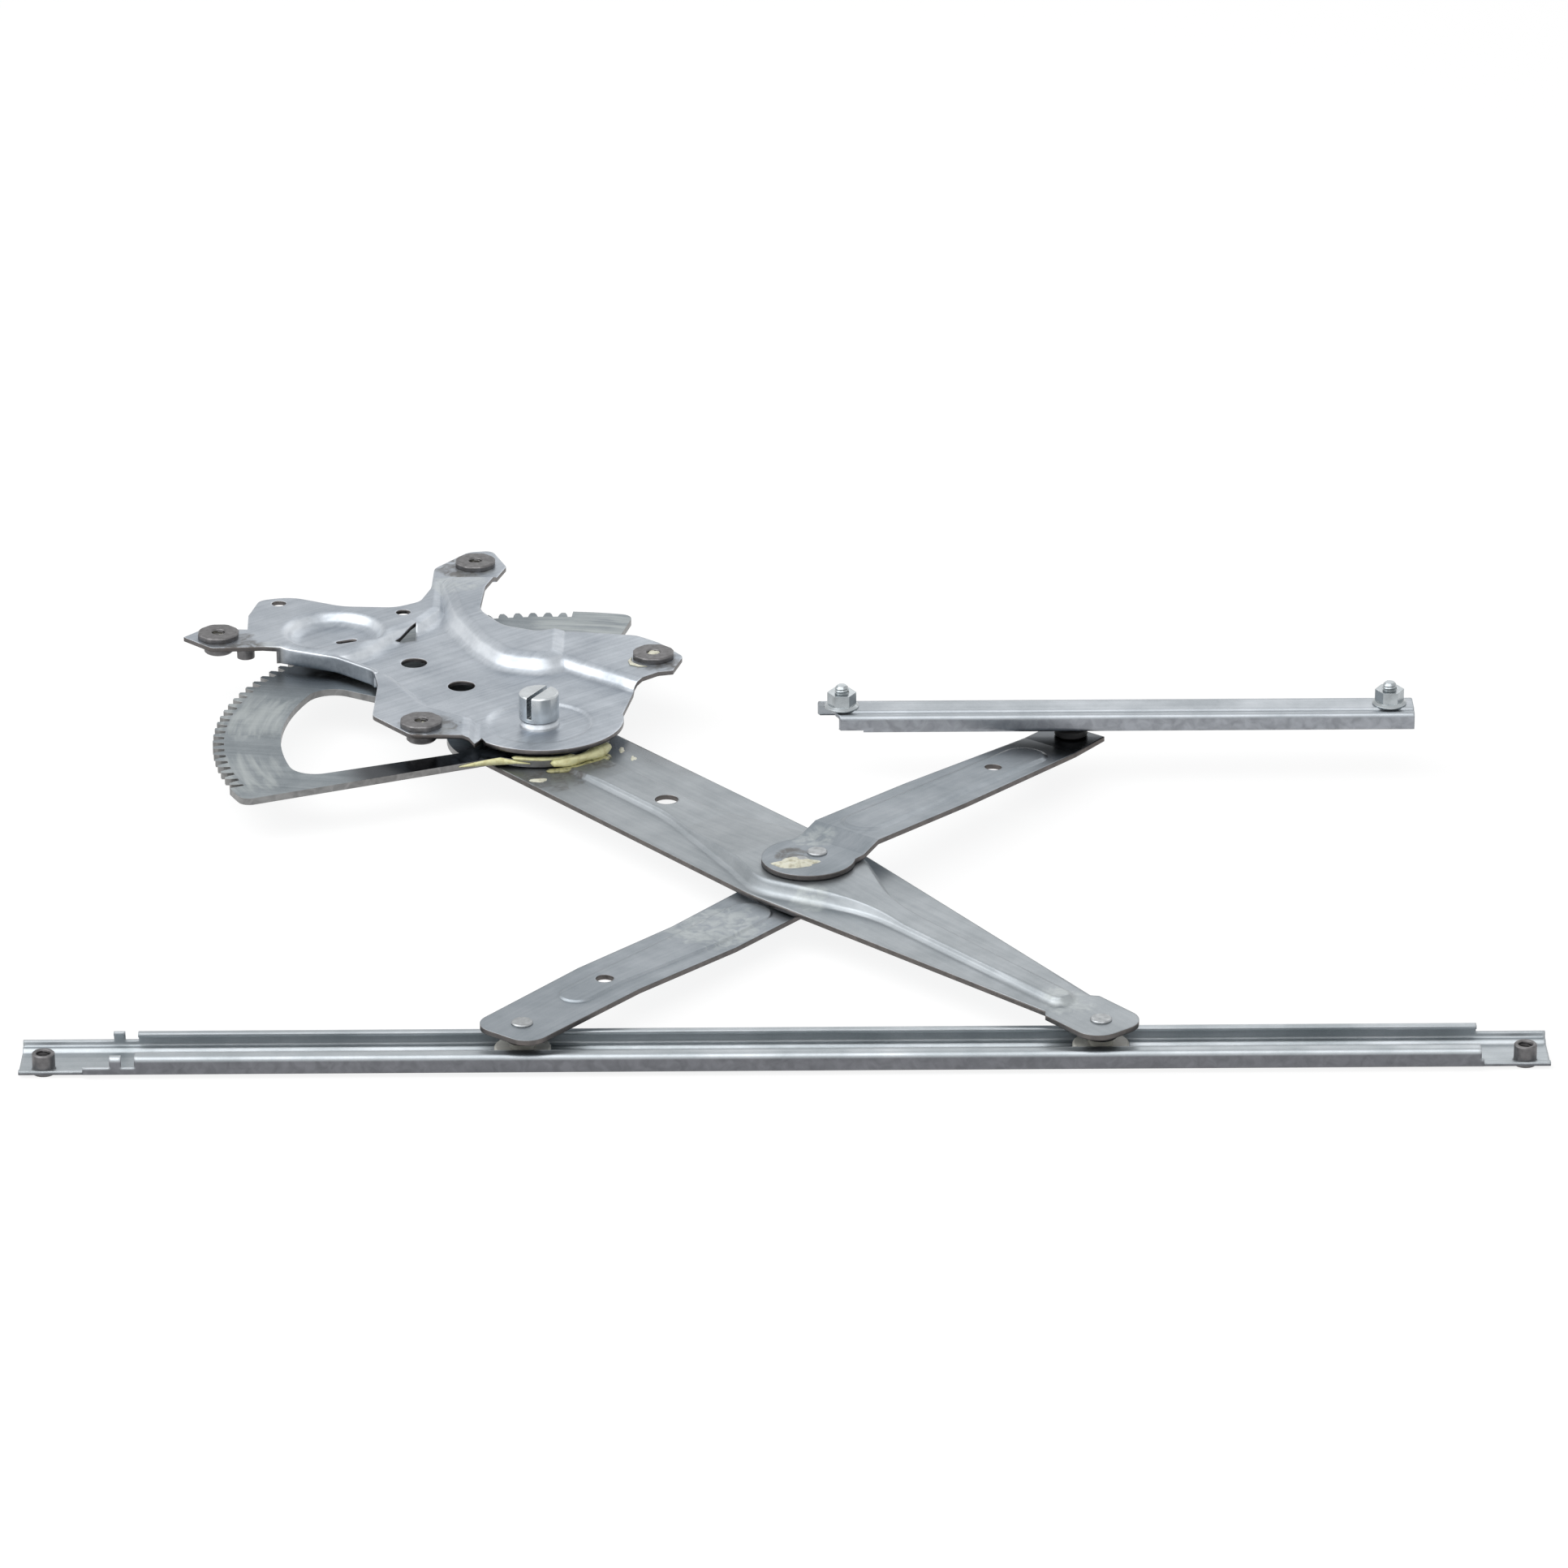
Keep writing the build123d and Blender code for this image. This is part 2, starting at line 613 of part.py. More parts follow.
# Equalizer, lower half: from its glass-rail roller to the scissor joint
lower_step_start, lower_step_end = 50.0, half_arm - 64
lower_web_start, lower_web_end = 22.0, half_arm - 28
lower_pad_radius = 15.5
with BuildPart() as lower_form:
    with BuildSketch(side_plane(lower_frame)):
        with BuildLine():
            Polyline(
                (-60, flange_top), (lower_step_start, flange_top), (lower_step_end, lower_flange_top),
                (half_arm + 60, lower_flange_top), (half_arm + 60, -deep), (-60, -deep),
                close=True,
            )
        make_face()
    extrude(amount=100, both=True)
    lower_base = lower_form.part
    with BuildPart(mode=Mode.PRIVATE) as lower_web:
        with BuildSketch(lower_frame.offset(lower_flange_top)):
            with Locations(((lower_web_start + lower_web_end) / 2, 0)):
                SlotOverall(lower_web_end - lower_web_start, 2 * equalizer_web_half_width)
        extrude(amount=flange_top - lower_flange_top + equalizer_web_rise, taper=38)
    add(lower_web.part & (Location((0, 0, equalizer_web_rise)) * lower_base))
    with BuildSketch(lower_frame.offset(lower_flange_top)):
        with Locations((half_arm, 0)):
            Circle(lower_pad_radius)
    extrude(amount=lower_pad_top - lower_flange_top, taper=38)

with BuildPart() as lower_prism:
    with BuildSketch(lower_frame.offset(-deep)):
        with BuildLine():
            Polyline(
                (0, -equalizer_half_width + 1), (half_arm, -equalizer_half_width - 1),
                (half_arm, equalizer_half_width + 1), (0, equalizer_half_width - 1),
                close=True,
            )
        make_face()
        with Locations((half_arm, 0)):
            Circle(equalizer_disc_radius)
        RectangleRounded(2 * lower_end_radius - 1, 2 * equalizer_half_width - 2, lower_end_corner)
    extrude(amount=2 * deep)

tenon_places = [(-hub_tenon_spacing / 2, 0), (hub_tenon_spacing / 2, 0)]
with BuildPart() as equalizer_lower:
    add(pressed(lower_form.part, arm_sheet, lower_prism.part))
    with BuildSketch(lower_frame.offset(-deep)):
        Circle(pin_radius)
        with Locations((lower_hole_along, 0)):
            Circle(equalizer_hole_radius)
        with Locations(*[(half_arm + x, y) for x, y in tenon_places]):
            Circle(hub_tenon_radius)
    extrude(amount=2 * deep, mode=Mode.SUBTRACT)
equalizer_lower.part.label = "equalizer_lower"
export_step(equalizer_lower.part, "parts/equalizer_lower.step")

# Equalizer, upper half: a disc on the scissor joint, a step up, then a slope to its tip
upper_end = half_arm + 6.5
upper_step_top = upper_disc_top + upper_rise
upper_flat_start = half_arm - 14
upper_step_end = equalizer_disc_radius + 6
upper_slope = (upper_tip_top - upper_step_top) / (upper_flat_start - upper_step_end)


def on_upper_slope(along):
    return upper_frame.from_local_coords(
        (along, 0, upper_step_top + (along - upper_step_end) * upper_slope)
    )


upper_web_start, upper_web_end = on_upper_slope(26.0), on_upper_slope(half_arm - 22)
upper_web_way = upper_web_end - upper_web_start
with BuildPart() as upper_form:
    with BuildSketch(side_plane(upper_frame)):
        with BuildLine():
            Polyline(
                (-60, upper_disc_top), (equalizer_disc_radius - 3, upper_disc_top),
                (upper_step_end, upper_step_top), (upper_flat_start, upper_tip_top),
                (half_arm + 60, upper_tip_top), (half_arm + 60, -deep), (-60, -deep),
                close=True,
            )
        make_face()
    extrude(amount=100, both=True)
    # Its web lies along the slope, a little proud of it
    with BuildSketch(Plane(
        origin=upper_web_start, x_dir=upper_web_way, z_dir=upper_web_way.cross(upper_frame.y_dir),
    )):
        with Locations((upper_web_way.length / 2, 0)):
            SlotOverall(upper_web_way.length, 2 * equalizer_web_half_width)
    extrude(amount=equalizer_web_rise, taper=65)

with BuildPart() as upper_prism:
    with BuildSketch(upper_frame.offset(-deep)):
        with BuildLine():
            Polyline(
                (0, -equalizer_half_width), (upper_taper_start, -equalizer_half_width),
                (upper_end, -equalizer_tip_half_width), (upper_end, equalizer_tip_half_width),
                (upper_taper_start, equalizer_half_width), (0, equalizer_half_width),
                close=True,
            )
        make_face()
        Circle(equalizer_disc_radius)
    extrude(amount=2 * deep)

with BuildPart() as equalizer_upper:
    add(pressed(upper_form.part, arm_sheet, upper_prism.part))
    with BuildSketch(upper_frame.offset(-deep)):
        with Locations(*tenon_places):
            Circle(hub_tenon_radius)
        with Locations((upper_hole_along, 0)):
            Circle(equalizer_hole_radius)
        with Locations((half_arm, 0)):
            Circle(pin_radius)
    extrude(amount=2 * deep, mode=Mode.SUBTRACT)
equalizer_upper.part.label = "equalizer_upper"
export_step(equalizer_upper.part, "parts/equalizer_upper.step")

# Scissor hub: a spool that turns in the lift arm, with two tenons that lock the halves
with BuildPart() as scissor_hub:
    with BuildSketch(upper_frame.offset(lower_pad_top)):
        Circle(scissor_hub_radius)
    extrude(amount=upper_disc_top - arm_sheet - lower_pad_top)
    add(rivet(
        upper_frame, tenon_places, hub_tenon_radius, lower_pad_top - arm_sheet, upper_disc_top,
        hub_tenon_radius + 0.6,
    ))
scissor_hub.part.label = "scissor_hub"
export_step(scissor_hub.part, "parts/scissor_hub.step")


def strip_outline(points, thickness):
    """Corners of a strip of the given thickness, centred on a run of straight lines."""
    sides = []
    for sign in (1, -1):
        side = []
        for number, (x, y) in enumerate(points):
            before = points[max(number - 1, 0)]
            after = points[min(number + 1, len(points) - 1)]
            into = Vector(x - before[0], y - before[1]) if number else Vector(after[0] - x, after[1] - y)
            out = Vector(after[0] - x, after[1] - y) if number < len(points) - 1 else into
            into, out = into.normalized(), out.normalized()
            across = Vector(-into.Y - out.Y, into.X + out.X).normalized()
            reach = sign * thickness / 2 / across.dot(Vector(-into.Y, into.X))
            side.append((x + across.X * reach, y + across.Y * reach))
        sides.append(side)
    return sides[0] + sides[1][::-1]


def channel(half, height, strip_half, strip_step, front_lip, back_lip):
    """Section of a rolled channel, open upwards, with a sunk strip along its floor."""
    inner = half - rail_sheet / 2
    low, high = rail_sheet / 2, height - rail_sheet / 2
    slope = strip_half + strip_step
    points = strip_outline(
        [
            (-half + front_lip, high), (-inner, high), (-inner, low + strip_step),
            (-slope, low + strip_step), (-strip_half, low), (strip_half, low),
            (slope, low + strip_step), (inner, low + strip_step), (inner, high),
            (half - back_lip, high),
        ],
        rail_sheet,
    )
    # The walls' four corners are rounded outside and inside
    turns = (1, 2, 7, 8)
    rounds = []
    for turn in turns:
        mirror_turn = len(points) - 1 - turn
        outer, inner_turn = sorted((turn, mirror_turn), key=lambda number: -abs(points[number][0]))
        rounds += [(outer, rail_sheet + 0.5), (inner_turn, 0.5)]
    return outline(points, rounds)


def box_cut(x_range, y_range, z_range):
    """Cut a box out of the part being built, given by its ranges."""
    spans = (x_range, y_range, z_range)
    middle = tuple((low + high) / 2 for low, high in spans)
    with Locations(middle):
        Box(*[high - low for low, high in spans], mode=Mode.SUBTRACT)


# Glass rail
glass_half = glass_rail_width / 2
tab_x, tab_width, tab_lip = -148.4, 4.2, 2.6
front_wall_left = -160.4
glass_section_plane = Plane(origin=(glass_left, glass_y, glass_bottom), x_dir=(0, 1, 0), z_dir=(1, 0, 0))
low_wall_top = glass_bottom + glass_low_wall
nut_offset = -5.9
glass_nut_places = {
    "left": (glass_left + glass_nut_inset, glass_y + nut_offset),
    "right": (glass_right - glass_nut_inset, glass_y + nut_offset),
}
with BuildPart() as glass_rail:
    with BuildSketch(glass_section_plane):
        add(channel(
            glass_half, glass_rail_height, glass_strip_half, glass_strip_step,
            glass_front_lip, glass_back_lip,
        ))
    extrude(amount=glass_right - glass_left)
    whole_y = (glass_y - 2 * glass_half, glass_y + 2 * glass_half)
    front_y = (glass_y - 2 * glass_half, glass_y - glass_half + rail_sheet + 0.2)
    over_top = (low_wall_top, glass_top + 1)
    tab_left, tab_right = tab_x - tab_width / 2, tab_x + tab_width / 2
    box_cut((glass_left - 1, tab_left), whole_y, over_top)
    box_cut((tab_right, glass_channel_left), whole_y, over_top)
    box_cut(
        (tab_left - 0.1, tab_right + 0.1),
        (glass_y - glass_half + tab_lip, glass_y + glass_half - tab_lip), over_top,
    )
    box_cut((glass_left - 1, front_wall_left), front_y, (glass_bottom - 1, glass_top + 1))
    box_cut((glass_channel_right, glass_right + 1), whole_y, over_top)
    box_cut((glass_channel_right + 1, glass_right + 1), front_y, (glass_bottom - 1, glass_top + 1))
    with BuildSketch(Plane.XY.offset(-deep)):
        with Locations(*glass_nut_places.values()):
            Circle(barrel_nut_radius)
    extrude(amount=2 * deep, mode=Mode.SUBTRACT)
glass_rail.part.label = "glass_rail"
export_step(glass_rail.part, "parts/glass_rail.step")

for place, (nut_x, nut_y) in glass_nut_places.items():
    with BuildPart() as glass_nut:
        with BuildSketch(Plane.XY.offset(glass_bottom)):
            with Locations((nut_x, nut_y)):
                Circle(barrel_nut_radius)
                Circle(m6_minor_radius, mode=Mode.SUBTRACT)
        extrude(amount=rail_sheet + barrel_nut_height)
        chamfer(glass_nut.faces().sort_by(Axis.Z)[-1].edges(), 0.4)
    glass_nut.part.label = f"glass_nut_{place}"
    export_step(glass_nut.part, f"parts/glass_nut_{place}.step")

# Guide rail: the same kind of channel upside down
guide_half = guide_width / 2
guide_section_plane = Plane(origin=(guide_right, 0, guide_top), x_dir=(0, 1, 0), z_dir=(-1, 0, 0))
wall_left, lip_left = guide_left + guide_chamfer, guide_left + 2 * guide_chamfer
stud_places = [(guide_left + stud_inset, 0), (guide_right - stud_inset, 0)]
with BuildPart() as guide_rail:
    with BuildSketch(guide_section_plane):
        add(channel(
            guide_half, guide_height + guide_strip_step, guide_strip_half, guide_strip_step,
            guide_lip, guide_lip,
        ))
    extrude(amount=guide_right - guide_left)
    # The left end is cut slanting across, and its lips start further in
    with BuildSketch(Plane.XY.offset(-deep)):
        with BuildLine():
            Polyline(
                (guide_left - 20, guide_half + 20), (guide_left, guide_half), (wall_left, -guide_half),
                (wall_left, -guide_half - 20), (guide_left - 20, -guide_half - 20),
                close=True,
            )
        make_face()
    extrude(amount=2 * deep, mode=Mode.SUBTRACT)
    box_cut((guide_left - 1, lip_left), (-30, 30), (guide_bottom - 1, guide_bottom + rail_sheet))
    with BuildSketch(Plane.XY.offset(-deep)):
        with Locations(*stud_places):
            Circle(stud_radius)
    extrude(amount=2 * deep, mode=Mode.SUBTRACT)
guide_rail.part.label = "guide_rail"
export_step(guide_rail.part, "parts/guide_rail.step")

# Studs with a thin head inside the channel, and their flange nuts
stud_head_radius, stud_head = 4.2, 0.7
guide_ceiling = guide_top - rail_sheet
for side, (stud_x, stud_y) in zip(("left", "right"), stud_places):
    with BuildPart() as stud:
        with BuildSketch(Plane.XY.offset(guide_ceiling)):
            with Locations((stud_x, stud_y)):
                Circle(stud_head_radius)
        extrude(amount=-stud_head)
        with BuildSketch(Plane.XY.offset(guide_ceiling)):
            with Locations((stud_x, stud_y)):
                Circle(stud_radius)
        extrude(amount=rail_sheet + flange_nut_height)
        with BuildSketch(Plane.XY.offset(guide_top + flange_nut_height)):
            with Locations((stud_x, stud_y)):
                Circle(stud_end_radius)
        extrude(amount=stud_past_nut)
        chamfer(stud.faces().sort_by(Axis.Z)[-1].edges(), 0.7)
    stud.part.label = f"guide_stud_{side}"
    export_step(stud.part, f"parts/guide_stud_{side}.step")

    with BuildPart() as flange_nut:
        with BuildSketch(Plane.XY.offset(guide_top)):
            with Locations((stud_x, stud_y)):
                Circle(flange_nut_flange_radius)
        extrude(amount=flange_nut_flange)
        chamfer(flange_nut.faces().sort_by(Axis.Z)[-1].edges(), flange_nut_flange * 0.6, 1.2)
        with BuildSketch(Plane.XY.offset(guide_top)):
            with Locations((stud_x, stud_y)):
                RegularPolygon(flange_nut_across_flats / 2, 6, major_radius=False)
        extrude(amount=flange_nut_height)
        with BuildSketch(Plane.XY.offset(guide_top)):
            with Locations((stud_x, stud_y)):
                Circle(flange_nut_flange_radius)
                Circle(stud_radius, mode=Mode.SUBTRACT)
        extrude(amount=flange_nut_height, mode=Mode.INTERSECT)
        # Rounded-off corners on top of the hexagon
        cone_foot = flange_nut_across_flats / 2 + 2.2
        with BuildPart(mode=Mode.PRIVATE) as corner_cone:
            with BuildSketch(Plane.XY.offset(guide_top)):
                with Locations((stud_x, stud_y)):
                    Circle(cone_foot + flange_nut_height)
            extrude(amount=flange_nut_height, taper=50)
        add(corner_cone.part, mode=Mode.INTERSECT)
    flange_nut.part.label = f"guide_nut_{side}"
    export_step(flange_nut.part, f"parts/guide_nut_{side}.step")


def write_roller(name, place, arm_near, arm_far, roller_near, roller_far, lip_outside, radius):
    """A pin through an arm's tip, its spacer ring, and the nylon roller that turns on it.

    The heights run from the arm towards the roller: arm_far is the arm's face away from
    the roller, arm_near the one towards it, lip_outside the rail's outer face.
    """
    way = 1 if roller_near > arm_near else -1
    neck_start = lip_outside - way * neck_past_lip
    ring_end = neck_start - way * hinge_gap
    with BuildPart() as ring:
        with BuildSketch(Plane.XY.offset(arm_near)):
            with Locations(place):
                Circle(pin_radius + ring_boss_wall)
                Circle(pin_radius, mode=Mode.SUBTRACT)
        extrude(amount=ring_end - arm_near)
        with BuildSketch(Plane.XY.offset(ring_end)):
            with Locations(place):
                Circle(ring_radius)
                Circle(pin_radius, mode=Mode.SUBTRACT)
        extrude(amount=-way * min(ring_thick, abs(ring_end - arm_near)))
        chamfer(ring.edges().filter_by(
            lambda edge: edge.geom_type == GeomType.CIRCLE and abs(edge.radius - ring_radius) < 0.01
        ), 0.6)
    ring.part.label = f"{name}_ring"
    export_step(ring.part, f"parts/{name}_ring.step")

    with BuildPart() as pin:
        with BuildSketch(Plane.XY.offset(arm_far)):
            with Locations(place):
                Circle(pin_radius)
        extrude(amount=roller_far - arm_far)
        with BuildSketch(Plane.XY.offset(arm_far)):
            with Locations(place):
                Circle(pin_head_radius)
        extrude(amount=-way * rivet_head_rise)
        with BuildSketch(Plane.XY.offset(roller_far)):
            with Locations(place):
                Circle(pin_head_radius)
        extrude(amount=way * pin_foot)
        chamfer(pin.edges().filter_by(
            lambda edge: edge.geom_type == GeomType.CIRCLE
            and abs(edge.center().Z - (arm_far - way * rivet_head_rise)) < 0.01
        ), rivet_head_rise / 2)
    pin.part.label = f"{name}_pin"
    export_step(pin.part, f"parts/{name}_pin.step")

    with BuildPart() as roller:
        with BuildSketch(Plane.XY.offset(roller_near)):
            with Locations(place):
                Circle(radius)
        extrude(amount=roller_far - roller_near)
        chamfer(roller.edges(), 0.6)
        with BuildSketch(Plane.XY.offset(neck_start)):
            with Locations(place):
                Circle(roller_neck_radius)
        extrude(amount=roller_near - neck_start)
        with BuildSketch(Plane.XY.offset(neck_start)):
            with Locations(place):
                Circle(pin_radius + running_gap)
        extrude(amount=roller_far - neck_start, mode=Mode.SUBTRACT)
    roller.part.label = f"{name}_roller"
    export_step(roller.part, f"parts/{name}_roller.step")


write_roller(
    "lift", (lift_tip_x, glass_y), flange_bottom, flange_top,
    glass_roller_high, glass_roller_low, glass_top, glass_roller_radius,
)
write_roller(
    "lower", (0, glass_y), flange_bottom, flange_top,
    glass_roller_high, glass_roller_low, glass_top, glass_roller_radius,
)
write_roller(
    "upper", (lift_tip_x, 0), upper_tip_top, upper_tip_top - arm_sheet,
    guide_roller_low, guide_roller_high, guide_bottom, guide_roller_radius,
)
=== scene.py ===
# %% [markdown]
# # A car door's window regulator
# This notebook dresses a finished CAD model. The shapes stand already, so the work here is
# the camera, the light, the surface finishes, and the small things that a CAD model leaves
# out: screw threads and the grease that was smeared on at the factory.

# %% Load the frame
from math import cos, pi, radians, sin

import bpy
from mathutils import Matrix, Vector, noise


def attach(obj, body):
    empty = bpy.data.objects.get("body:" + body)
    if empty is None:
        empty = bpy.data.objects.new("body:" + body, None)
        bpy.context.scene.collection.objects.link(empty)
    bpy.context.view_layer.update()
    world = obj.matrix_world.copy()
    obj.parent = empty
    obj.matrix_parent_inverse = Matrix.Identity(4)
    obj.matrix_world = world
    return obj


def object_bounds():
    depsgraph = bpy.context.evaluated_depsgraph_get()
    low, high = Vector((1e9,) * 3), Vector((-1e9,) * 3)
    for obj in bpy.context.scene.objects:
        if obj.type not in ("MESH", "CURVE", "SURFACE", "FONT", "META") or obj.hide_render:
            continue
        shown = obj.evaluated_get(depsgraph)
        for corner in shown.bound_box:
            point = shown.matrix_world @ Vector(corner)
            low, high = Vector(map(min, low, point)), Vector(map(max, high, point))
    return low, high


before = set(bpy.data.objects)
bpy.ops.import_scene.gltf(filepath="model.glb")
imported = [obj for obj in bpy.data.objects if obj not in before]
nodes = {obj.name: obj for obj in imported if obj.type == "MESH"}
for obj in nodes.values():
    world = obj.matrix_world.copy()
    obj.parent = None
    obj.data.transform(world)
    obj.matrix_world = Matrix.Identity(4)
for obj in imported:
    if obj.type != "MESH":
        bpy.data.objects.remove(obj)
cad_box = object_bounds()
scene = bpy.context.scene
print("CAD nodes:", len(nodes), "box:", cad_box)

# %% [markdown]
# ## Camera
# The photograph was taken with a long lens from far away: parallel edges stay almost
# parallel. The place, turn and focal length below were found by matching measured points of
# the object to their places in the picture. A camera looks along its own -Z, so its matrix
# is built from the directions that point right, up and back.

# %% Camera
IMAGE_PIXELS = 1932
SENSOR_MM = 36
CLIP_END = 20             # metres, beyond the far edge of the floor
focal_pixels = 9121.15
distance = 2.95014
elevation, yaw, roll = radians(23.094), radians(-0.258), radians(-0.241)
target = Vector((0.09732, -0.00923, -0.02584))

level_right = Vector((cos(yaw), sin(yaw), 0))
level_up = Vector((-sin(yaw) * sin(elevation), cos(yaw) * sin(elevation), cos(elevation)))
right = level_right * cos(roll) + level_up * sin(roll)
up = level_up * cos(roll) - level_right * sin(roll)
back = right.cross(up)

camera_data = bpy.data.cameras.new("bench_camera")
camera_data.sensor_width = SENSOR_MM
camera_data.lens = focal_pixels * SENSOR_MM / IMAGE_PIXELS
camera_data.clip_end = CLIP_END
camera = bpy.data.objects.new("bench_camera", camera_data)
camera.matrix_world = Matrix.Translation(target + back * distance) @ Matrix(
    (right, up, back)
).transposed().to_4x4()
scene.collection.objects.link(camera)
scene.camera = camera
scene.view_settings.view_transform = "Standard"
print("Lens:", round(camera_data.lens, 1), "mm")

# %% [markdown]
# ## Nodes by one small function
# Every finish below is a handful of nodes. One function makes a node, sets its options and
# links or fills its inputs, so that each recipe reads from top to bottom. Colours are written
# as sRGB hex values, the way a colour picker shows them, and one function turns them to the
# linear values that the renderer works with. Patterns are measured in millimetres of the
# object itself, so that they ride with it when it moves.

# %% Helpers for finishes
def linear(code):
    """Turns an sRGB hex colour to a linear colour with alpha."""
    values = [int(code[i:i + 2], 16) / 255 for i in (1, 3, 5)]
    return [v / 12.92 if v <= 0.04045 else ((v + 0.055) / 1.055) ** 2.4 for v in values] + [1.0]


def add(tree, kind, inputs=None, **settings):
    """Adds a node with its settings, and links or fills its inputs."""
    node = tree.nodes.new(kind)
    for key, value in settings.items():
        setattr(node, key, value)
    for key, value in (inputs or {}).items():
        if isinstance(value, bpy.types.NodeSocket):
            tree.links.new(value, node.inputs[key])
        else:
            node.inputs[key].default_value = value
    return node


def blank_material(name):
    """A new material with no nodes, and its tree."""
    material = bpy.data.materials.new(name)
    material.use_nodes = True
    material.node_tree.nodes.clear()
    return material, material.node_tree


def millimetres(tree):
    """The object's own coordinates, in millimetres."""
    coordinates = add(tree, "ShaderNodeTexCoord")
    scaled = add(tree, "ShaderNodeVectorMath", {0: coordinates.outputs["Object"], "Scale": 1000.0},
                 operation="SCALE")
    return scaled.outputs[0]


print("Mid grey is", round(linear("#808080")[0], 3), "in linear light")

# %% [markdown]
# ## Even light and a white background
# The photograph shows the part on pure white with soft light all round. A world of one level
# gives that light without a lamp. A world bright enough to look white would burn out the
# zinc, so Light Path splits the two. Rays from the camera, and those that a mirror or glass
# sends on, see plain white. All other rays see the darker level that lights the part.

# %% World
AMBIENT = 0.38            # strength that lights the part, where 1 is white


def rays_that_see_white(tree):
    """1 for rays of the camera, of a mirror and of glass, and 0 for those that light."""
    rays = add(tree, "ShaderNodeLightPath")
    camera_or_glossy = add(tree, "ShaderNodeMath", {0: rays.outputs["Is Camera Ray"],
                           1: rays.outputs["Is Glossy Ray"]}, operation="MAXIMUM")
    seen = add(tree, "ShaderNodeMath", {0: camera_or_glossy.outputs[0],
               1: rays.outputs["Is Transmission Ray"]}, operation="MAXIMUM")
    return seen.outputs[0]


world = bpy.data.worlds.new("studio")
scene.world = world
world.use_nodes = True
tree = world.node_tree
tree.nodes.clear()
level = add(tree, "ShaderNodeMapRange", {"Value": rays_that_see_white(tree), "To Min": AMBIENT,
            "To Max": 1.0})
sky = add(tree, "ShaderNodeBackground", {"Color": linear("#FFFFFF"), "Strength": level.outputs[0]})
add(tree, "ShaderNodeOutputWorld", {"Surface": sky.outputs[0]})
print("The world lights the part at", AMBIENT)

# %% [markdown]
# ## Softboxes
# Zinc shows mostly what it mirrors, so a wide lamp draws a pale band on each slope that
# faces it. In the photograph such bands lie on the slopes that face the camera and the left.
# The largest softbox hangs above the front for them, a weaker one hangs on the left, and a
# third keeps the far side from going dull. Small lamps would give hard glints instead.

# %% Softboxes
def softbox(name, place, size, watts):
    """A rectangular lamp at a place in metres, turned to the middle of the object."""
    lamp = bpy.data.lights.new(name, "AREA")
    lamp.shape = "RECTANGLE"
    lamp.size, lamp.size_y = size
    lamp.energy = watts
    holder = bpy.data.objects.new(name, lamp)
    holder.location = place
    holder.rotation_euler = (target - Vector(place)).to_track_quat("-Z", "Y").to_euler()
    scene.collection.objects.link(holder)


softbox("front_softbox", (-0.35, -0.75, 1.6), (2.4, 1.6), 21.0)
softbox("left_softbox", (-1.1, -0.12, 1.0), (1.2, 1.0), 6.0)
softbox("back_softbox", (0.6, 1.6, 1.0), (1.2, 0.5), 2.0)
print("Softboxes:", len(bpy.data.lights))

# %% [markdown]
# ## Floor
# The part lies on white paper that has no visible edge. Paper lit at this level would come
# out grey, so it gives off most of its white by itself, again only to the rays that see
# white. The rest comes from the lamps, and so the part still casts a faint shadow.

# %% Floor
FLOOR_DROP = 0.0002       # metres under the part, so that the two never touch
FLOOR_HALF = 6            # metres from the middle to an edge
FLOOR_GLOW = 0.86         # the paper's own share of the white
PAPER_GREY = 0.2          # the share of the lamps' light that the paper sends back

floor_z = cad_box[0][2] - FLOOR_DROP
floor_mesh = bpy.data.meshes.new("bench")
floor_mesh.from_pydata([(x * FLOOR_HALF, y * FLOOR_HALF, floor_z)
                        for x, y in ((-1, -1), (1, -1), (1, 1), (-1, 1))], [], [(0, 1, 2, 3)])
floor = bpy.data.objects.new("bench", floor_mesh)
scene.collection.objects.link(floor)
# Matt paper: an even white with no gloss, so that only the shadow shows where it lies
material, tree = blank_material("white_paper_sweep")
glow = add(tree, "ShaderNodeMath", {0: rays_that_see_white(tree), 1: FLOOR_GLOW},
           operation="MULTIPLY")
paper = add(tree, "ShaderNodeBsdfDiffuse", {"Color": [PAPER_GREY, PAPER_GREY, PAPER_GREY, 1]})
lit = add(tree, "ShaderNodeEmission", {"Color": linear("#FFFFFF"), "Strength": glow.outputs[0]})
both = add(tree, "ShaderNodeAddShader", {0: paper.outputs[0], 1: lit.outputs[0]})
add(tree, "ShaderNodeOutputMaterial", {"Surface": both.outputs[0]})
floor_mesh.materials.append(material)
print("Floor at", round(floor_z * 1000, 2), "mm")

# %% [markdown]
# ## Round edges and soft bends
# A real sheet has no knife-sharp corner, and the press turns it over a radius. Rounding the
# mesh itself would cost many faces on a form as busy as this plate. A Bevel node rounds the
# shading alone, which is what the eye reads. The press's radius is wider than that of a cut
# edge, so a second, wider Bevel takes over at named places. Such a place is a centre in plan
# and two radii in millimetres: full within the inner one, gone at the outer one.

# %% Places and rounding
def near(tree, point, centre, inner, outer):
    """1 within inner millimetres of a place in plan, fading to 0 at outer."""
    away = add(tree, "ShaderNodeVectorMath", {0: point, 1: (centre[0], centre[1], 0)},
               operation="SUBTRACT")
    flat = add(tree, "ShaderNodeVectorMath", {0: away.outputs[0], 1: (1, 1, 0)},
               operation="MULTIPLY")
    span = add(tree, "ShaderNodeVectorMath", {0: flat.outputs[0]}, operation="LENGTH")
    fade = add(tree, "ShaderNodeMapRange", {"Value": span.outputs["Value"], "From Min": inner,
               "From Max": outer, "To Min": 1.0, "To Max": 0.0}, interpolation_type="SMOOTHSTEP")
    return fade.outputs[0]


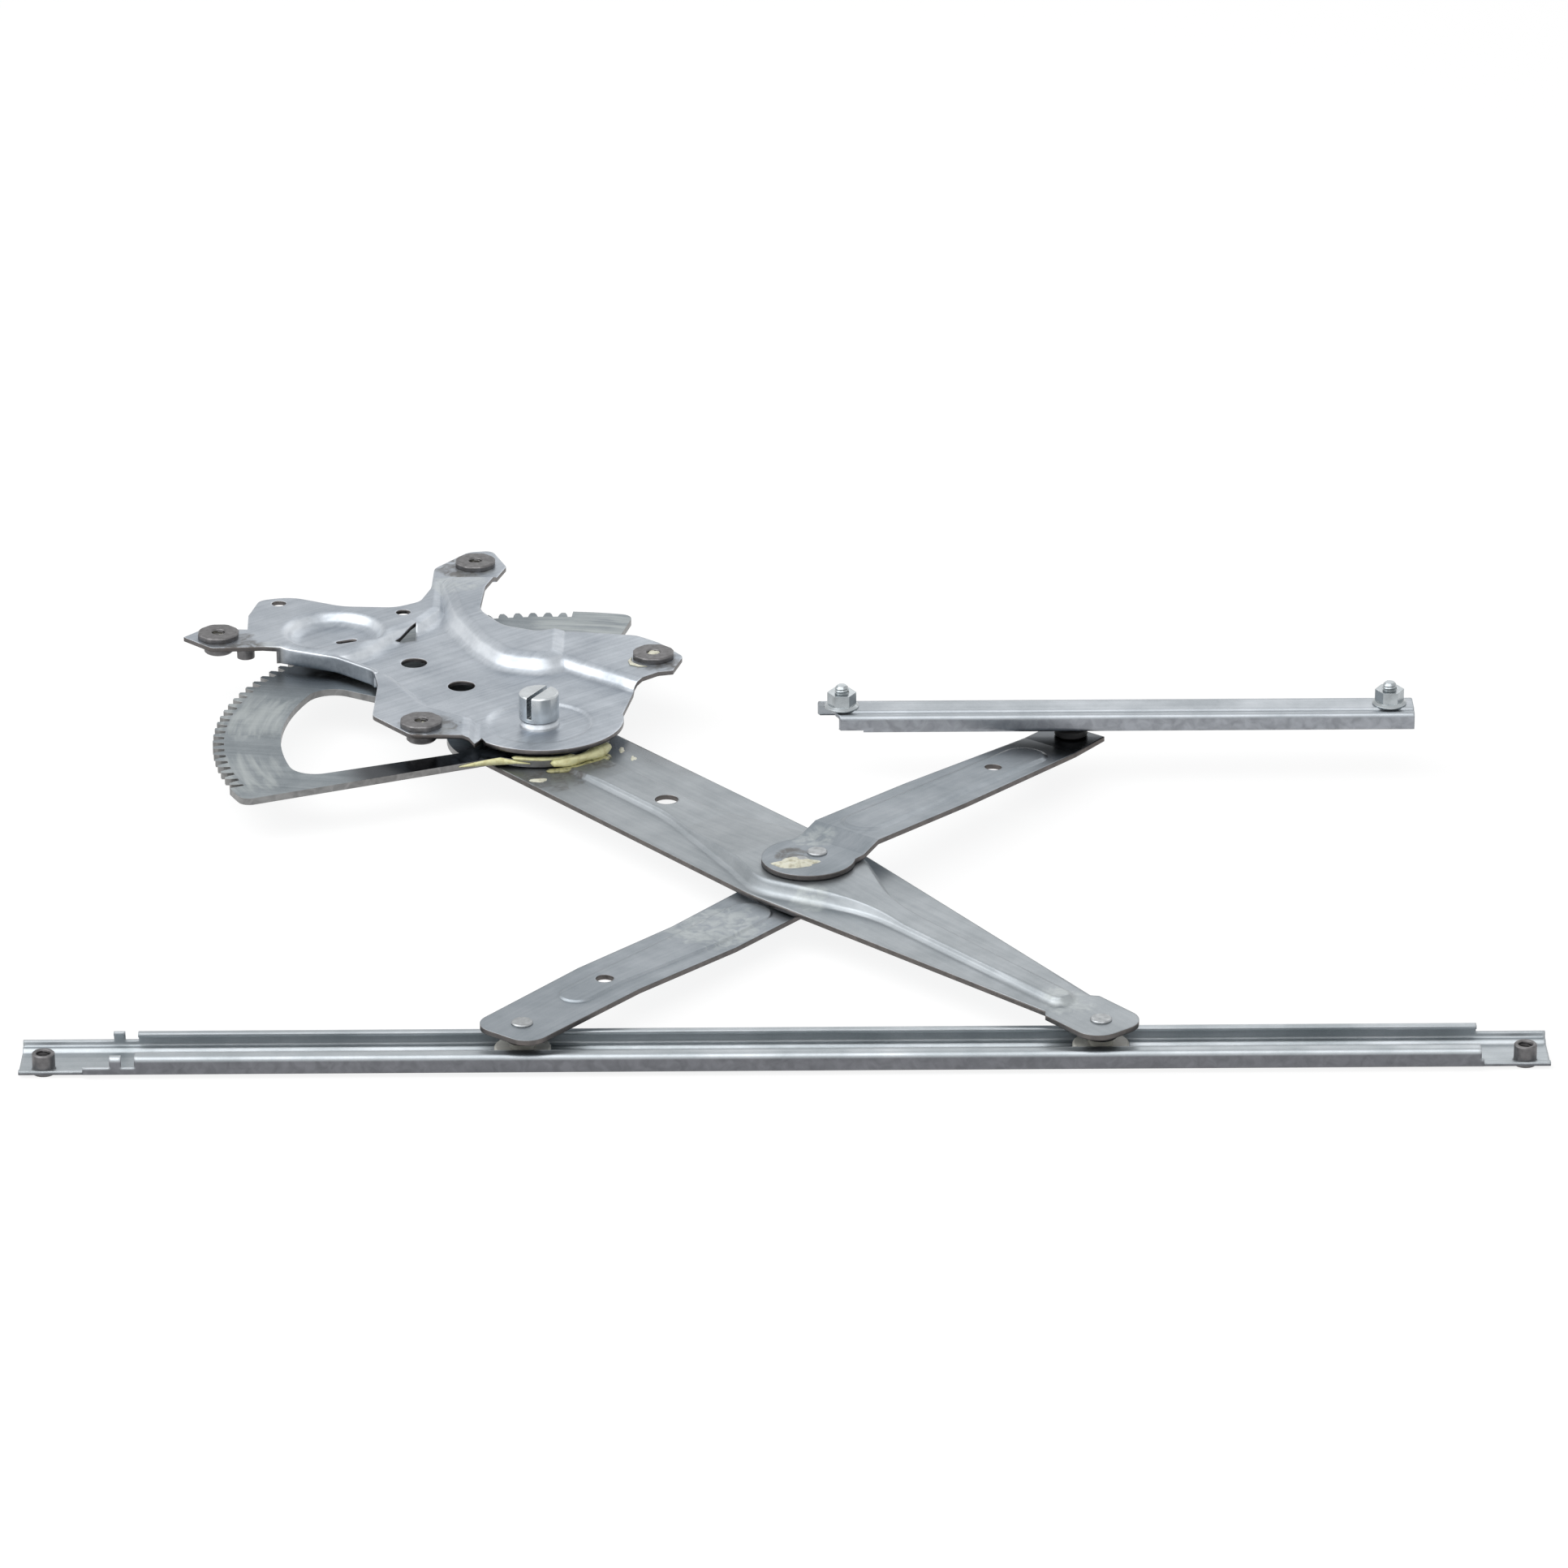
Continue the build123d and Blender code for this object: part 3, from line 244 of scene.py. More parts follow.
def rounded_shading(tree, point, edge_mm, bends, bend_mm):
    """The surface's direction with its edges rounded, and more widely at the bends."""
    edges = add(tree, "ShaderNodeBevel", {"Radius": edge_mm / 1000}, samples=8)
    if not bends:
        return edges.outputs[0]
    wide = add(tree, "ShaderNodeBevel", {"Radius": bend_mm / 1000}, samples=12)
    share = 0.0
    for place in bends:
        share = add(tree, "ShaderNodeMath", {0: share, 1: near(tree, point, *place)},
                    operation="MAXIMUM").outputs[0]
    blend = add(tree, "ShaderNodeMix", {0: share, 4: edges.outputs[0], 5: wide.outputs[0]},
                data_type="VECTOR")
    return add(tree, "ShaderNodeVectorMath", {0: blend.outputs[1]}, operation="NORMALIZE").outputs[0]


print("Cut edges and bends get radii of their own")

# %% [markdown]
# ## Painted highlights on slopes
# The pale bands that a lamp draws on a slope are painted into the colour here, as a paler
# zinc. Slopes are found by how far the rounded direction leans away from straight up:
# 1 is level and 0 is upright. The painted highlight rises as the sheet begins to tilt and falls
# away before it stands upright. The clouds make it uneven.

# %% Painted highlights on slopes
# Painted highlight: the paler colour that the slopes take where a lamp's band would fall
PAINTED_SLOPE_HIGHLIGHT = "#E9EDF1"


def painted_slope_highlight(tree, colour, lean, clouds, slope_highlight):
    """A colour with a painted highlight on slopes, by the share slope_highlight."""
    tilted = add(tree, "ShaderNodeMapRange", {"Value": lean, "From Min": 0.99, "From Max": 0.7})
    open_side = add(tree, "ShaderNodeMapRange", {"Value": lean, "From Min": 0.3, "From Max": 0.5,
                    "To Max": slope_highlight})
    uneven = add(tree, "ShaderNodeMapRange", {"Value": clouds, "From Min": 0.35,
                 "From Max": 0.6, "To Min": 0.35, "To Max": 1.0})
    lit_slope = add(tree, "ShaderNodeMath", {0: tilted.outputs[0], 1: open_side.outputs[0]},
              operation="MULTIPLY")
    patches = add(tree, "ShaderNodeMath", {0: lit_slope.outputs[0], 1: uneven.outputs[0]},
                  operation="MULTIPLY")
    return add(tree, "ShaderNodeMix", {0: patches.outputs[0], 6: colour,
               7: linear(PAINTED_SLOPE_HIGHLIGHT)}, data_type="RGBA").outputs[2]


print("Rubbed zinc:", PAINTED_SLOPE_HIGHLIGHT)

# %% [markdown]
# ## Wiped grease, dirt and painted shade
# White grease is wiped thin over the gear by its own motion, so there it lies in arcs round
# the pivot. Elsewhere it was wiped by hand. Dirt gathers round the welded nuts. Both hide
# the zinc, so they lower Metallic along with the colour. The third mark darkens the colour and
# makes it smoother, like oil, but leaves the metal showing: on the gear and the lift arm it is
# painted shade, with a painted dark reflection on the gear. All three are laid by the places of the
# step before, so no picture has to be painted.

# %% Stains
# Pale grease, and the same colour as a painted highlight at two of the smears below
WIPED_GREASE_AND_HIGHLIGHT, GREASE_AND_HIGHLIGHT_COVER = "#C6CCCA", 0.38
DIRT, DIRT_COVER = "#3E3933", 0.8
# The colour of the painted shade and painted dark reflection, and the smoother roughness that goes
# with it
PAINTED_SHADE_FILM, OILY_ROUGHNESS = "#22282F", 0.22
ARC_STRETCH = 14.0        # makes a streak about a quarter of a radian long


def wiped_arcs(tree, point):
    """A noise drawn out along arcs round the origin, with streaks about 3 mm wide."""
    place = add(tree, "ShaderNodeSeparateXYZ", {0: point})
    radius = add(tree, "ShaderNodeVectorMath", {0: point}, operation="LENGTH")
    turn = add(tree, "ShaderNodeMath", {0: place.outputs[1], 1: place.outputs[0]},
               operation="ARCTAN2")
    along = add(tree, "ShaderNodeMath", {0: turn.outputs[0], 1: ARC_STRETCH}, operation="MULTIPLY")
    arcs = add(tree, "ShaderNodeCombineXYZ", {0: radius.outputs["Value"], 1: along.outputs[0]})
    return add(tree, "ShaderNodeTexNoise", {"Vector": arcs.outputs[0], "Scale": 0.3,
               "Detail": 5.0, "Distortion": 0.4}).outputs[0]


def dabbed(tree, near_place, spots, shade, cover, colour, bare):
    """The colour and the bare metal's share after dabbing a shade on in patches."""
    patch = add(tree, "ShaderNodeMath", {0: near_place, 1: spots}, operation="MULTIPLY")
    cut = add(tree, "ShaderNodeMapRange", {"Value": patch.outputs[0], "From Min": 0.36,
              "From Max": 0.62, "To Max": cover})
    colour = add(tree, "ShaderNodeMix", {0: cut.outputs[0], 6: colour, 7: linear(shade)},
                 data_type="RGBA")
    bare = add(tree, "ShaderNodeMix", {0: cut.outputs[0], 2: bare, 3: 0.0})
    return colour.outputs[2], bare.outputs[0]


def shaded_and_oiled(tree, shade_place, share, colour, dulness):
    """The colour darkened at a place, as painted shade, and the smoother roughness of oil."""
    strength = add(tree, "ShaderNodeMath", {0: shade_place, 1: share}, operation="MULTIPLY")
    colour = add(tree, "ShaderNodeMix", {0: strength.outputs[0], 6: colour, 7: linear(PAINTED_SHADE_FILM)},
                 data_type="RGBA")
    dulness = add(tree, "ShaderNodeMix", {0: shade_place, 2: dulness, 3: OILY_ROUGHNESS})
    return colour.outputs[2], dulness.outputs[0]


print("Stains: wiped grease, dirt and oil")

# %% [markdown]
# ## Cut and rolled edges
# Where the blank was sheared, the cut edge shows bare steel, browner and darker than the
# zinc. Cut edges are the faces that stand upright, so the face's own direction finds them.
# A rail is rolled from strip, and its corners are round, so there the rounded direction is
# used and a line in Y keeps the rest out: only the outside of the front wall and the lower corner,
# which faces down, take the darker colour, as painted shade.

# %% Edge mask
def upright_faces(tree, point, lean, shaded_front, spared):
    """The share of the upright colour, which on a rail is painted shade: high on upright faces, and
    none at the spared places.
    """
    if shaded_front is None:
        geometry = add(tree, "ShaderNodeNewGeometry")
        parts = add(tree, "ShaderNodeSeparateXYZ", {0: geometry.outputs["True Normal"]})
        lean = add(tree, "ShaderNodeMath", {0: parts.outputs[2]}, operation="ABSOLUTE").outputs[0]
    edge = add(tree, "ShaderNodeMapRange", {"Value": lean, "From Min": 0.1, "From Max": 0.35,
               "To Min": 0.85, "To Max": 0.0}).outputs[0]
    # On a rail, only the front wall and the downward faces in front of the line take the painted
    # shade
    if shaded_front is not None:
        place = add(tree, "ShaderNodeSeparateXYZ", {0: point})
        front = add(tree, "ShaderNodeMath", {0: place.outputs[1], 1: shaded_front},
                    operation="LESS_THAN")
        edge = add(tree, "ShaderNodeMath", {0: edge, 1: front.outputs[0]},
                   operation="MULTIPLY").outputs[0]
    for place in spared:
        kept = add(tree, "ShaderNodeMath", {0: 1.0, 1: near(tree, point, *place)},
                   operation="SUBTRACT")
        edge = add(tree, "ShaderNodeMath", {0: edge, 1: kept.outputs[0]},
                   operation="MULTIPLY").outputs[0]
    return edge


print("Edges are found by their direction")

# %% [markdown]
# ## Galvanised sheet
# The plate, the arms and the rails are stamped from cold-rolled sheet with a thin zinc coat.
# Zinc is a full metal, dulled to a soft grey by rolling and handling: cloudy patches a few
# centimetres across, faint streaks along the rolling direction and a fine grain. Three
# noises of those sizes, mixed, give that. An even grey would look like plastic. The same
# mix drives the colour and a very low bump, and the clouds alone drive the roughness.

# %% Galvanised sheet
CLOUD_MM = 25.0
STREAKS_PER_MM = (0.012, 0.6, 0.6)   # one in 83 mm along the rolling direction, 1.7 mm across
GRAIN_MM = 0.5                       # the real grain is 0.1 mm, drawn coarser so that it shows
PATCHES_PER_MM = 0.22                # patches of grease and dirt, about 4.5 mm across
SHEARED_STEEL = "#5E5753"


def galvanised_sheet(name, pale, deep, rolling_angle, upright=SHEARED_STEEL, spared=(), grease_and_highlight_smears=(),
                     grime=(), shade_and_oil=(), edge_mm=0.3, wiped_round=False, shaded_front=None,
                     slope_highlight=0.0, bends=(), bend_mm=3.4):
    """Zinc-coated sheet whose upright faces have a colour of their own.

    Places are (centre, inner, outer) in millimetres. Smears of grease and grime are dabbed on
    in patches, and a smear also serves as a painted highlight. Places in shade_and_oil are darkened
    all over, by a share that comes fourth, and made smoother like oil. Spared ones have no sheared
    edge. Smears that are wiped_round follow arcs about the origin. On a rolled strip, only the
    outside in front of the y value shaded_front takes the upright colour, as painted shade.
    Slopes get a painted highlight by the share slope_highlight, and the shading turns over bend_mm
    at the places named in bends.
    """
    material, tree = blank_material(name)
    point = millimetres(tree)
    clouds = add(tree, "ShaderNodeTexNoise", {"Vector": point, "Scale": 1 / CLOUD_MM,
                 "Detail": 5.0, "Roughness": 0.6}).outputs[0]
    turned = add(tree, "ShaderNodeVectorRotate", {"Vector": point,
                 "Angle": -radians(rolling_angle)}, rotation_type="Z_AXIS")
    drawn = add(tree, "ShaderNodeVectorMath", {0: turned.outputs[0], 1: STREAKS_PER_MM},
                operation="MULTIPLY")
    streaks = add(tree, "ShaderNodeTexNoise", {"Vector": drawn.outputs[0], "Scale": 1.0,
                  "Detail": 3.0})
    grain = add(tree, "ShaderNodeTexNoise", {"Vector": point, "Scale": 1 / GRAIN_MM, "Detail": 2.0})
    rolled = add(tree, "ShaderNodeMix", {0: 0.35, 2: clouds, 3: streaks.outputs[0]})
    mottle = add(tree, "ShaderNodeMix", {0: 0.15, 2: rolled.outputs[0], 3: grain.outputs[0]})
    tone = add(tree, "ShaderNodeMapRange", {"Value": mottle.outputs[0], "From Min": 0.36,
               "From Max": 0.64})
    colour = add(tree, "ShaderNodeMix", {0: tone.outputs[0], 6: linear(deep), 7: linear(pale)},
                 data_type="RGBA").outputs[2]
    dulness = add(tree, "ShaderNodeMapRange", {"Value": clouds, "From Min": 0.3,
                  "From Max": 0.7, "To Min": 0.46, "To Max": 0.36}).outputs[0]

    rounded = rounded_shading(tree, point, edge_mm, bends, bend_mm)
    lean = add(tree, "ShaderNodeSeparateXYZ", {0: rounded}).outputs[2]
    if slope_highlight:
        colour = painted_slope_highlight(tree, colour, lean, clouds, slope_highlight)

    patchy = add(tree, "ShaderNodeTexNoise", {"Vector": point, "Scale": PATCHES_PER_MM,
                 "Detail": 6.0, "Distortion": 0.8}).outputs[0]
    wiped = wiped_arcs(tree, point) if wiped_round else patchy
    bare = 1.0
    for place in grease_and_highlight_smears:
        colour, bare = dabbed(tree, near(tree, point, *place), wiped, WIPED_GREASE_AND_HIGHLIGHT, GREASE_AND_HIGHLIGHT_COVER,
                              colour, bare)
    for place in grime:
        colour, bare = dabbed(tree, near(tree, point, *place), patchy, DIRT, DIRT_COVER,
                              colour, bare)
    for centre, inner, outer, share in shade_and_oil:
        colour, dulness = shaded_and_oiled(tree, near(tree, point, centre, inner, outer), share, colour,
                                dulness)

    # Cut edges take bare steel here, and on a rail the front wall takes painted shade
    edge = upright_faces(tree, point, lean, shaded_front, spared)
    rubbed = add(tree, "ShaderNodeMapRange", {"Value": patchy, "From Min": 0.35,
                 "From Max": 0.65, "To Min": 0.75, "To Max": 1.15})
    face = add(tree, "ShaderNodeVectorMath", {0: linear(upright)[:3], "Scale": rubbed.outputs[0]},
               operation="SCALE")
    colour = add(tree, "ShaderNodeMix", {0: edge, 6: colour, 7: face.outputs[0]},
                 data_type="RGBA").outputs[2]

    bump = add(tree, "ShaderNodeBump", {"Strength": 0.12, "Distance": 0.00006,
               "Height": mottle.outputs[0], "Normal": rounded})
    skin = add(tree, "ShaderNodeBsdfPrincipled", {"Base Color": colour, "Metallic": bare,
               "Roughness": dulness, "Normal": bump.outputs[0]})
    add(tree, "ShaderNodeOutputMaterial", {"Surface": skin.outputs[0]})
    return material


print("Clouds of", CLOUD_MM, "mm and grain of", GRAIN_MM, "mm")

# %% [markdown]
# ## Pressed and rolled pieces
# The pressings differ a little in grey, as sheets from different coils do, and the rolling
# direction runs along the long ones. So one recipe is called with two greys, an angle and
# the places of each piece. Of the pressings, the plate is the palest and was drawn deepest,
# and it has the strongest painted highlights on its slopes. The gear is dulled by grease, and
# has painted shade and a painted dark reflection where the plate covers it. The two rails are
# rolled from clean strip, and carry painted shade on their front walls.

# %% Finishes of the sheet pieces
finishes = {
    # Pale, lively zinc with painted highlights on the slopes of the ridge and the dish, a painted
    # highlight on the back tab, and dirty nut seats
    "base_plate": galvanised_sheet(
        "galvanised_sheet_pressed", "#B2B8BF", "#8E959D", 40, edge_mm=1.3, slope_highlight=0.6,
        bends=[((-34, 96), 10, 17), ((-30, 76), 11, 17), ((-20, 60), 10, 16), ((-4, 50), 10, 15),
               ((10, 50), 8, 13), ((24, 40), 8, 13), ((-86, 88), 22, 28), ((-62, 74), 6, 12),
               ((0, 0), 21, 24)],
        spared=[((0, 0), 9, 10), ((-84, 56), 24, 30)],
        # The smear at (-37, 137) is a painted highlight on the back tab, and the others are grease
        grease_and_highlight_smears=[((-132, 86), 6, 16), ((45, 62), 6, 17), ((-40, -18), 4, 14), ((-30, 155), 5, 15),
                ((-37, 137), 8, 20), ((-112, 70), 4, 10)],
        grime=[((-127, 73), 8, 23), ((-43, -15), 8, 21), ((47, 52), 7, 19), ((-36, 156), 7, 20)],
    ),
    # Darker than the other pressings, partly as painted shade from the plate above, and duller under
    # a thin film, with pale arcs where the pinion spreads the grease
    "sector_gear": galvanised_sheet(
        "galvanised_sheet_greased_gear", "#949B9F", "#70787D", -10, upright="#8B8A89",
        wiped_round=True,
        grease_and_highlight_smears=[((-118, 20), 12, 48), ((-118, -40), 10, 40), ((-80, 95), 20, 60),
                ((20, 122), 15, 50)],
        grime=[((-25, -22), 4, 26)],
        # Painted dark reflection on the lower spoke, and painted shade with a painted dark
        # reflection where the plate covers the gear
        shade_and_oil=[((-50, -35), 16, 32, 1.0), ((-25, -30), 10, 26, 0.9), ((-92, 72), 6, 36, 0.8)],
    ),
    # An even middle grey with faint painted highlights on its slopes, and painted shade in a strip
    # beside the gear
    "lift_arm": galvanised_sheet(
        "galvanised_sheet_lift_arm", "#9DA2A6", "#888E92", -51, edge_mm=1.1, slope_highlight=0.08,
        bend_mm=2.4, bends=[((100, -154), 14, 22), ((190, -242), 14, 24)],
        grease_and_highlight_smears=[((106, -160), 4, 14), ((200, -250), 6, 20)],
        grime=[((6, -36), 8, 24), ((24, -26), 3, 14)],
        # Painted shade in a strip along the arm's far side, beside the gear
        shade_and_oil=[((37, -4), 3, 15, 0.45), ((48, -17), 2, 14, 0.35), ((59, -30), 1, 12, 0.25)],
    ),
    # A cooler grey, dirty at the joint, with painted highlights on its slopes and on the bend at the
    # step, and darker and smoother where it runs under the guide rail
    "equalizer_upper": galvanised_sheet(
        "galvanised_sheet_equalizer_upper", "#91979D", "#7A8288", 51, edge_mm=0.9, slope_highlight=0.35,
        # The smear is a painted highlight on the bend at the step, and the grime is dirt at the
        # joint
        grease_and_highlight_smears=[((108, -115), 5, 15)], grime=[((100, -131), 5, 11)],
        # Darker and smoother where the arm runs under the guide rail
        shade_and_oil=[((220, 6), 22, 62, 0.8)],
    ),
    # Nearly the grey of the upper half, with a wide smear of dried grease and faint painted
    # highlights on its slopes
    "equalizer_lower": galvanised_sheet(
        "galvanised_sheet_equalizer_lower", "#92989E", "#7B8389", 51, edge_mm=0.9, slope_highlight=0.12,
        grease_and_highlight_smears=[((70, -175), 10, 40)],
    ),
    # Rolled strip: clean and pale, with painted shade on the front wall and its lower corner, and
    # patchy rub marks in it
    "glass_rail": galvanised_sheet(
        "galvanised_strip_rolled_glass_rail", "#B4B9BD", "#969DA1", 0, upright="#66666B",
        edge_mm=1.6, shaded_front=-265.4,
    ),
    # Painted shade on the front wall and its lower corner here too
    "guide_rail": galvanised_sheet(
        "galvanised_strip_rolled_guide_rail", "#B0B5BA", "#949A9F", 0, upright="#94979D",
        edge_mm=1.1, shaded_front=0.0,
    ),
}
print("Sheet finishes:", len(finishes))

# %% [markdown]
# ## Turned and headed steel
# The slotted post, the flange nuts, the studs and the rivets are turned or cold headed and
# zinc plated, so they mirror more than the sheet does. They share one recipe: a metal whose
# tone and roughness wander with wear, and fine rings from the tool round its axis. The rings
# are 0.25 mm apart, which is near to a real tool's feed.

# %% Plated steel
TOOL_FEED_MM = 0.25
FEED_DRIFT_MM = 20.0      # how far a ring runs level before it wanders


def plated(name, code, roughness, turning=0.0, edge_mm=0.2, wear_size=2.0):
    """A plated or bare steel surface, with stronger turning marks round Z if asked for."""
    material, tree = blank_material(name)
    point = millimetres(tree)
    wear = add(tree, "ShaderNodeTexNoise", {"Vector": point, "Scale": 1 / wear_size, "Detail": 4.0})
    tone = add(tree, "ShaderNodeMapRange", {"Value": wear.outputs[0], "From Min": 0.3,
               "From Max": 0.7, "To Min": 0.8, "To Max": 1.1})
    colour = add(tree, "ShaderNodeVectorMath", {0: linear(code)[:3], "Scale": tone.outputs[0]},
                 operation="SCALE")
    dulness = add(tree, "ShaderNodeMapRange", {"Value": wear.outputs[0], "From Min": 0.3,
                  "From Max": 0.7, "To Min": roughness + 0.08, "To Max": roughness - 0.06})
    rounded = add(tree, "ShaderNodeBevel", {"Radius": edge_mm / 1000}, samples=6)
    marks = add(tree, "ShaderNodeVectorMath", {0: point, 1: (1 / FEED_DRIFT_MM, 1 / FEED_DRIFT_MM,
                1 / TOOL_FEED_MM)}, operation="MULTIPLY")
    rings = add(tree, "ShaderNodeTexNoise", {"Vector": marks.outputs[0], "Scale": 1.0,
                "Detail": 2.0})
    bump = add(tree, "ShaderNodeBump", {"Strength": 0.08 + turning, "Distance": 0.00005,
               "Height": rings.outputs[0], "Normal": rounded.outputs[0]})
    skin = add(tree, "ShaderNodeBsdfPrincipled", {"Base Color": colour.outputs[0], "Metallic": 1.0,
               "Roughness": dulness.outputs[0], "Normal": bump.outputs[0]})
    add(tree, "ShaderNodeOutputMaterial", {"Surface": skin.outputs[0]})
    return material


# Bright zinc on a headed post: a clear mirror with a soft lustre, the brightest metal here
bright_zinc = plated("zinc_plated_steel_headed", "#C4C9CC", 0.22, edge_mm=0.5, wear_size=7.0)
# The nuts and studs are plated in a barrel: darker, with sharp glints on their flats
nut_zinc = plated("zinc_plated_steel_nut", "#A9AFB2", 0.19, edge_mm=0.3, wear_size=4.0)
# Peened heads: the hammering dulls them, so they look almost matt beside the post
rivet_steel = plated("zinc_plated_steel_rivet", "#9A9D9F", 0.36)
# Weld nuts come phosphated, which soaks up light and reads as a dull brown grey
weld_nut_steel = plated("phosphated_steel_weld_nut", "#6E6D6E", 0.4, 0.1, edge_mm=0.6)
# Sintered bronze, soaked with oil: a warm, half-dull yellow inside the collar
bronze = plated("sintered_bronze_bush", "#A88B5C", 0.4)
print("Steel and bronze finishes: 5")

# %% [markdown]
# ## Moulded plastic
# The rollers are moulded from white nylon, which lets a little light in and so looks waxy
# at its thin rims. Their spacer rings are black acetal, which lets none in. One recipe does
# both: a faint flow from the mould, fine pores, and light under the surface only if asked.

# %% Moulded plastic
FLOWS_PER_MM = 0.35       # streaks of the flow, about 3 mm
PORES_PER_MM = 3.0        # pores, 0.3 mm, drawn coarser than real ones so that they show


def moulded(name, pale, deep, roughness, depth_mm=0.0):
    """A moulded plastic. depth_mm above zero lets light travel that far under its surface."""
    material, tree = blank_material(name)
    point = millimetres(tree)
    flow = add(tree, "ShaderNodeTexNoise", {"Vector": point, "Scale": FLOWS_PER_MM, "Detail": 3.0})
    tone = add(tree, "ShaderNodeMapRange", {"Value": flow.outputs[0], "From Min": 0.3,
               "From Max": 0.7})
    colour = add(tree, "ShaderNodeMix", {0: tone.outputs[0], 6: linear(deep), 7: linear(pale)},
                 data_type="RGBA")
    pores = add(tree, "ShaderNodeTexNoise", {"Vector": point, "Scale": PORES_PER_MM, "Detail": 2.0})
    bump = add(tree, "ShaderNodeBump", {"Strength": 0.15, "Distance": 0.00004,
               "Height": pores.outputs[0]})
    skin = add(tree, "ShaderNodeBsdfPrincipled", {"Base Color": colour.outputs[2],
               "Roughness": roughness, "IOR": 1.5, "Subsurface Weight": 0.3 if depth_mm else 0.0,
               "Subsurface Scale": depth_mm / 1000,
               "Subsurface Radius": (1.0, 0.9, 0.8), "Normal": bump.outputs[0]})
    add(tree, "ShaderNodeOutputMaterial", {"Surface": skin.outputs[0]})
    return material


# Milky and slightly warm, with soft highlights
nylon = moulded("nylon_moulded_white", "#D9D8D0", "#C2C1B8", 0.38, 0.8)
# A near black that reads as a dark gap between the arm and the roller
acetal = moulded("acetal_moulded_black", "#101011", "#0A0A0B", 0.55)
print("Plastics:", nylon.name, acetal.name)

# %% [markdown]
# ## Dressing the CAD nodes
# Every node of the CAD model is one piece of the real object, or in one case three like
# rivets, so it takes exactly one finish. A table from names to finishes is easier to check
# than a loop full of conditions.

# %% Finishes for the small pieces
finishes["spring_post"] = bright_zinc
for name in ("guide_stud_left", "guide_stud_right", "guide_nut_left", "guide_nut_right"):
    finishes[name] = nut_zinc
for name in ("sector_rivets", "scissor_hub", "lift_pin", "lower_pin", "upper_pin"):
    finishes[name] = rivet_steel
for name in ("weld_nut_left", "weld_nut_back", "weld_nut_front", "weld_nut_right", "motor_nut",
             "glass_nut_left", "glass_nut_right"):
    finishes[name] = weld_nut_steel
finishes["pivot_bush"] = bronze
for name in ("lift", "lower", "upper"):
    finishes[f"{name}_roller"] = nylon
    finishes[f"{name}_ring"] = acetal

for name, node in nodes.items():
    node.data.materials.clear()
    node.data.materials.append(finishes[name])
print("Nodes dressed:", len(nodes))

# %% [markdown]
# ## Grease as a material
# Regulators leave the factory greased: pale yellow round the main pivot, where the gear's
# hub runs under the plate, and cream white in the nuts and on the scissor joint. Grease is
# a soft solid that light enters, with a wet surface, so it needs light under its surface
# and a low roughness. Dirt works into it in spots of about 2 mm.

# %% Grease finishes
DIRT_SPOT_MM = 2.0
FOLD_MM = 4.0


def grease(name, pale, deep):
    """Grease with darker spots, soft folds and a wet gloss."""
    material, tree = blank_material(name)
    point = millimetres(tree)
    dirt = add(tree, "ShaderNodeTexNoise", {"Vector": point, "Scale": 1 / DIRT_SPOT_MM,
               "Detail": 5.0})
    tone = add(tree, "ShaderNodeMapRange", {"Value": dirt.outputs[0], "From Min": 0.3,
               "From Max": 0.55})
    colour = add(tree, "ShaderNodeMix", {0: tone.outputs[0], 6: linear(deep), 7: linear(pale)},
                 data_type="RGBA")
    folds = add(tree, "ShaderNodeTexNoise", {"Vector": point, "Scale": 1 / FOLD_MM, "Detail": 2.0})
    bump = add(tree, "ShaderNodeBump", {"Strength": 0.3, "Distance": 0.0004,
               "Height": folds.outputs[0]})
    skin = add(tree, "ShaderNodeBsdfPrincipled", {"Base Color": colour.outputs[2], "Roughness": 0.3,
               "IOR": 1.48, "Subsurface Weight": 0.2, "Subsurface Scale": 0.0006,
               "Subsurface Radius": (1.0, 0.9, 0.7), "Normal": bump.outputs[0]})
    add(tree, "ShaderNodeOutputMaterial", {"Surface": skin.outputs[0]})
    return material


# Fresh and thick: a buttery yellow that glows a little where it is thin
yellow_grease = grease("lithium_grease_yellow", "#F2F0BE", "#D8D29A")
# Fresh and thin: an off-white that stays soft beside the bright metal
cream_grease = grease("lithium_grease_cream", "#DEDDCB", "#B3AE98")
# Worn and full of metal dust: yellow-green with near black spots
dirty_grease = grease("lithium_grease_dirty", "#A9A679", "#2E2D27")
print("Greases:", yellow_grease.name, cream_grease.name, dirty_grease.name)

# %% [markdown]
# ## Grease as a shape
# A bead is what is squeezed out of a gap: a tube along a few points whose thickness wanders
# with a smooth noise, so it looks pressed out and not drawn. A dab is a low lump whose rim
# wanders in the same way. Both are plain meshes, so that they export as they are, and each
# rides on the body that carries it.

# %% Grease shapes
def piece(name, points, faces, body, material, smooth=True):
    """A mesh piece from points in millimetres, riding on a body."""
    mesh = bpy.data.meshes.new(name)
    mesh.from_pydata([(x / 1000, y / 1000, z / 1000) for x, y, z in points], [], faces)
    mesh.update()
    if smooth:
        mesh.shade_smooth()
    mesh.materials.append(material)
    made = bpy.data.objects.new(name, mesh)
    scene.collection.objects.link(made)
    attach(made, body)
    return made


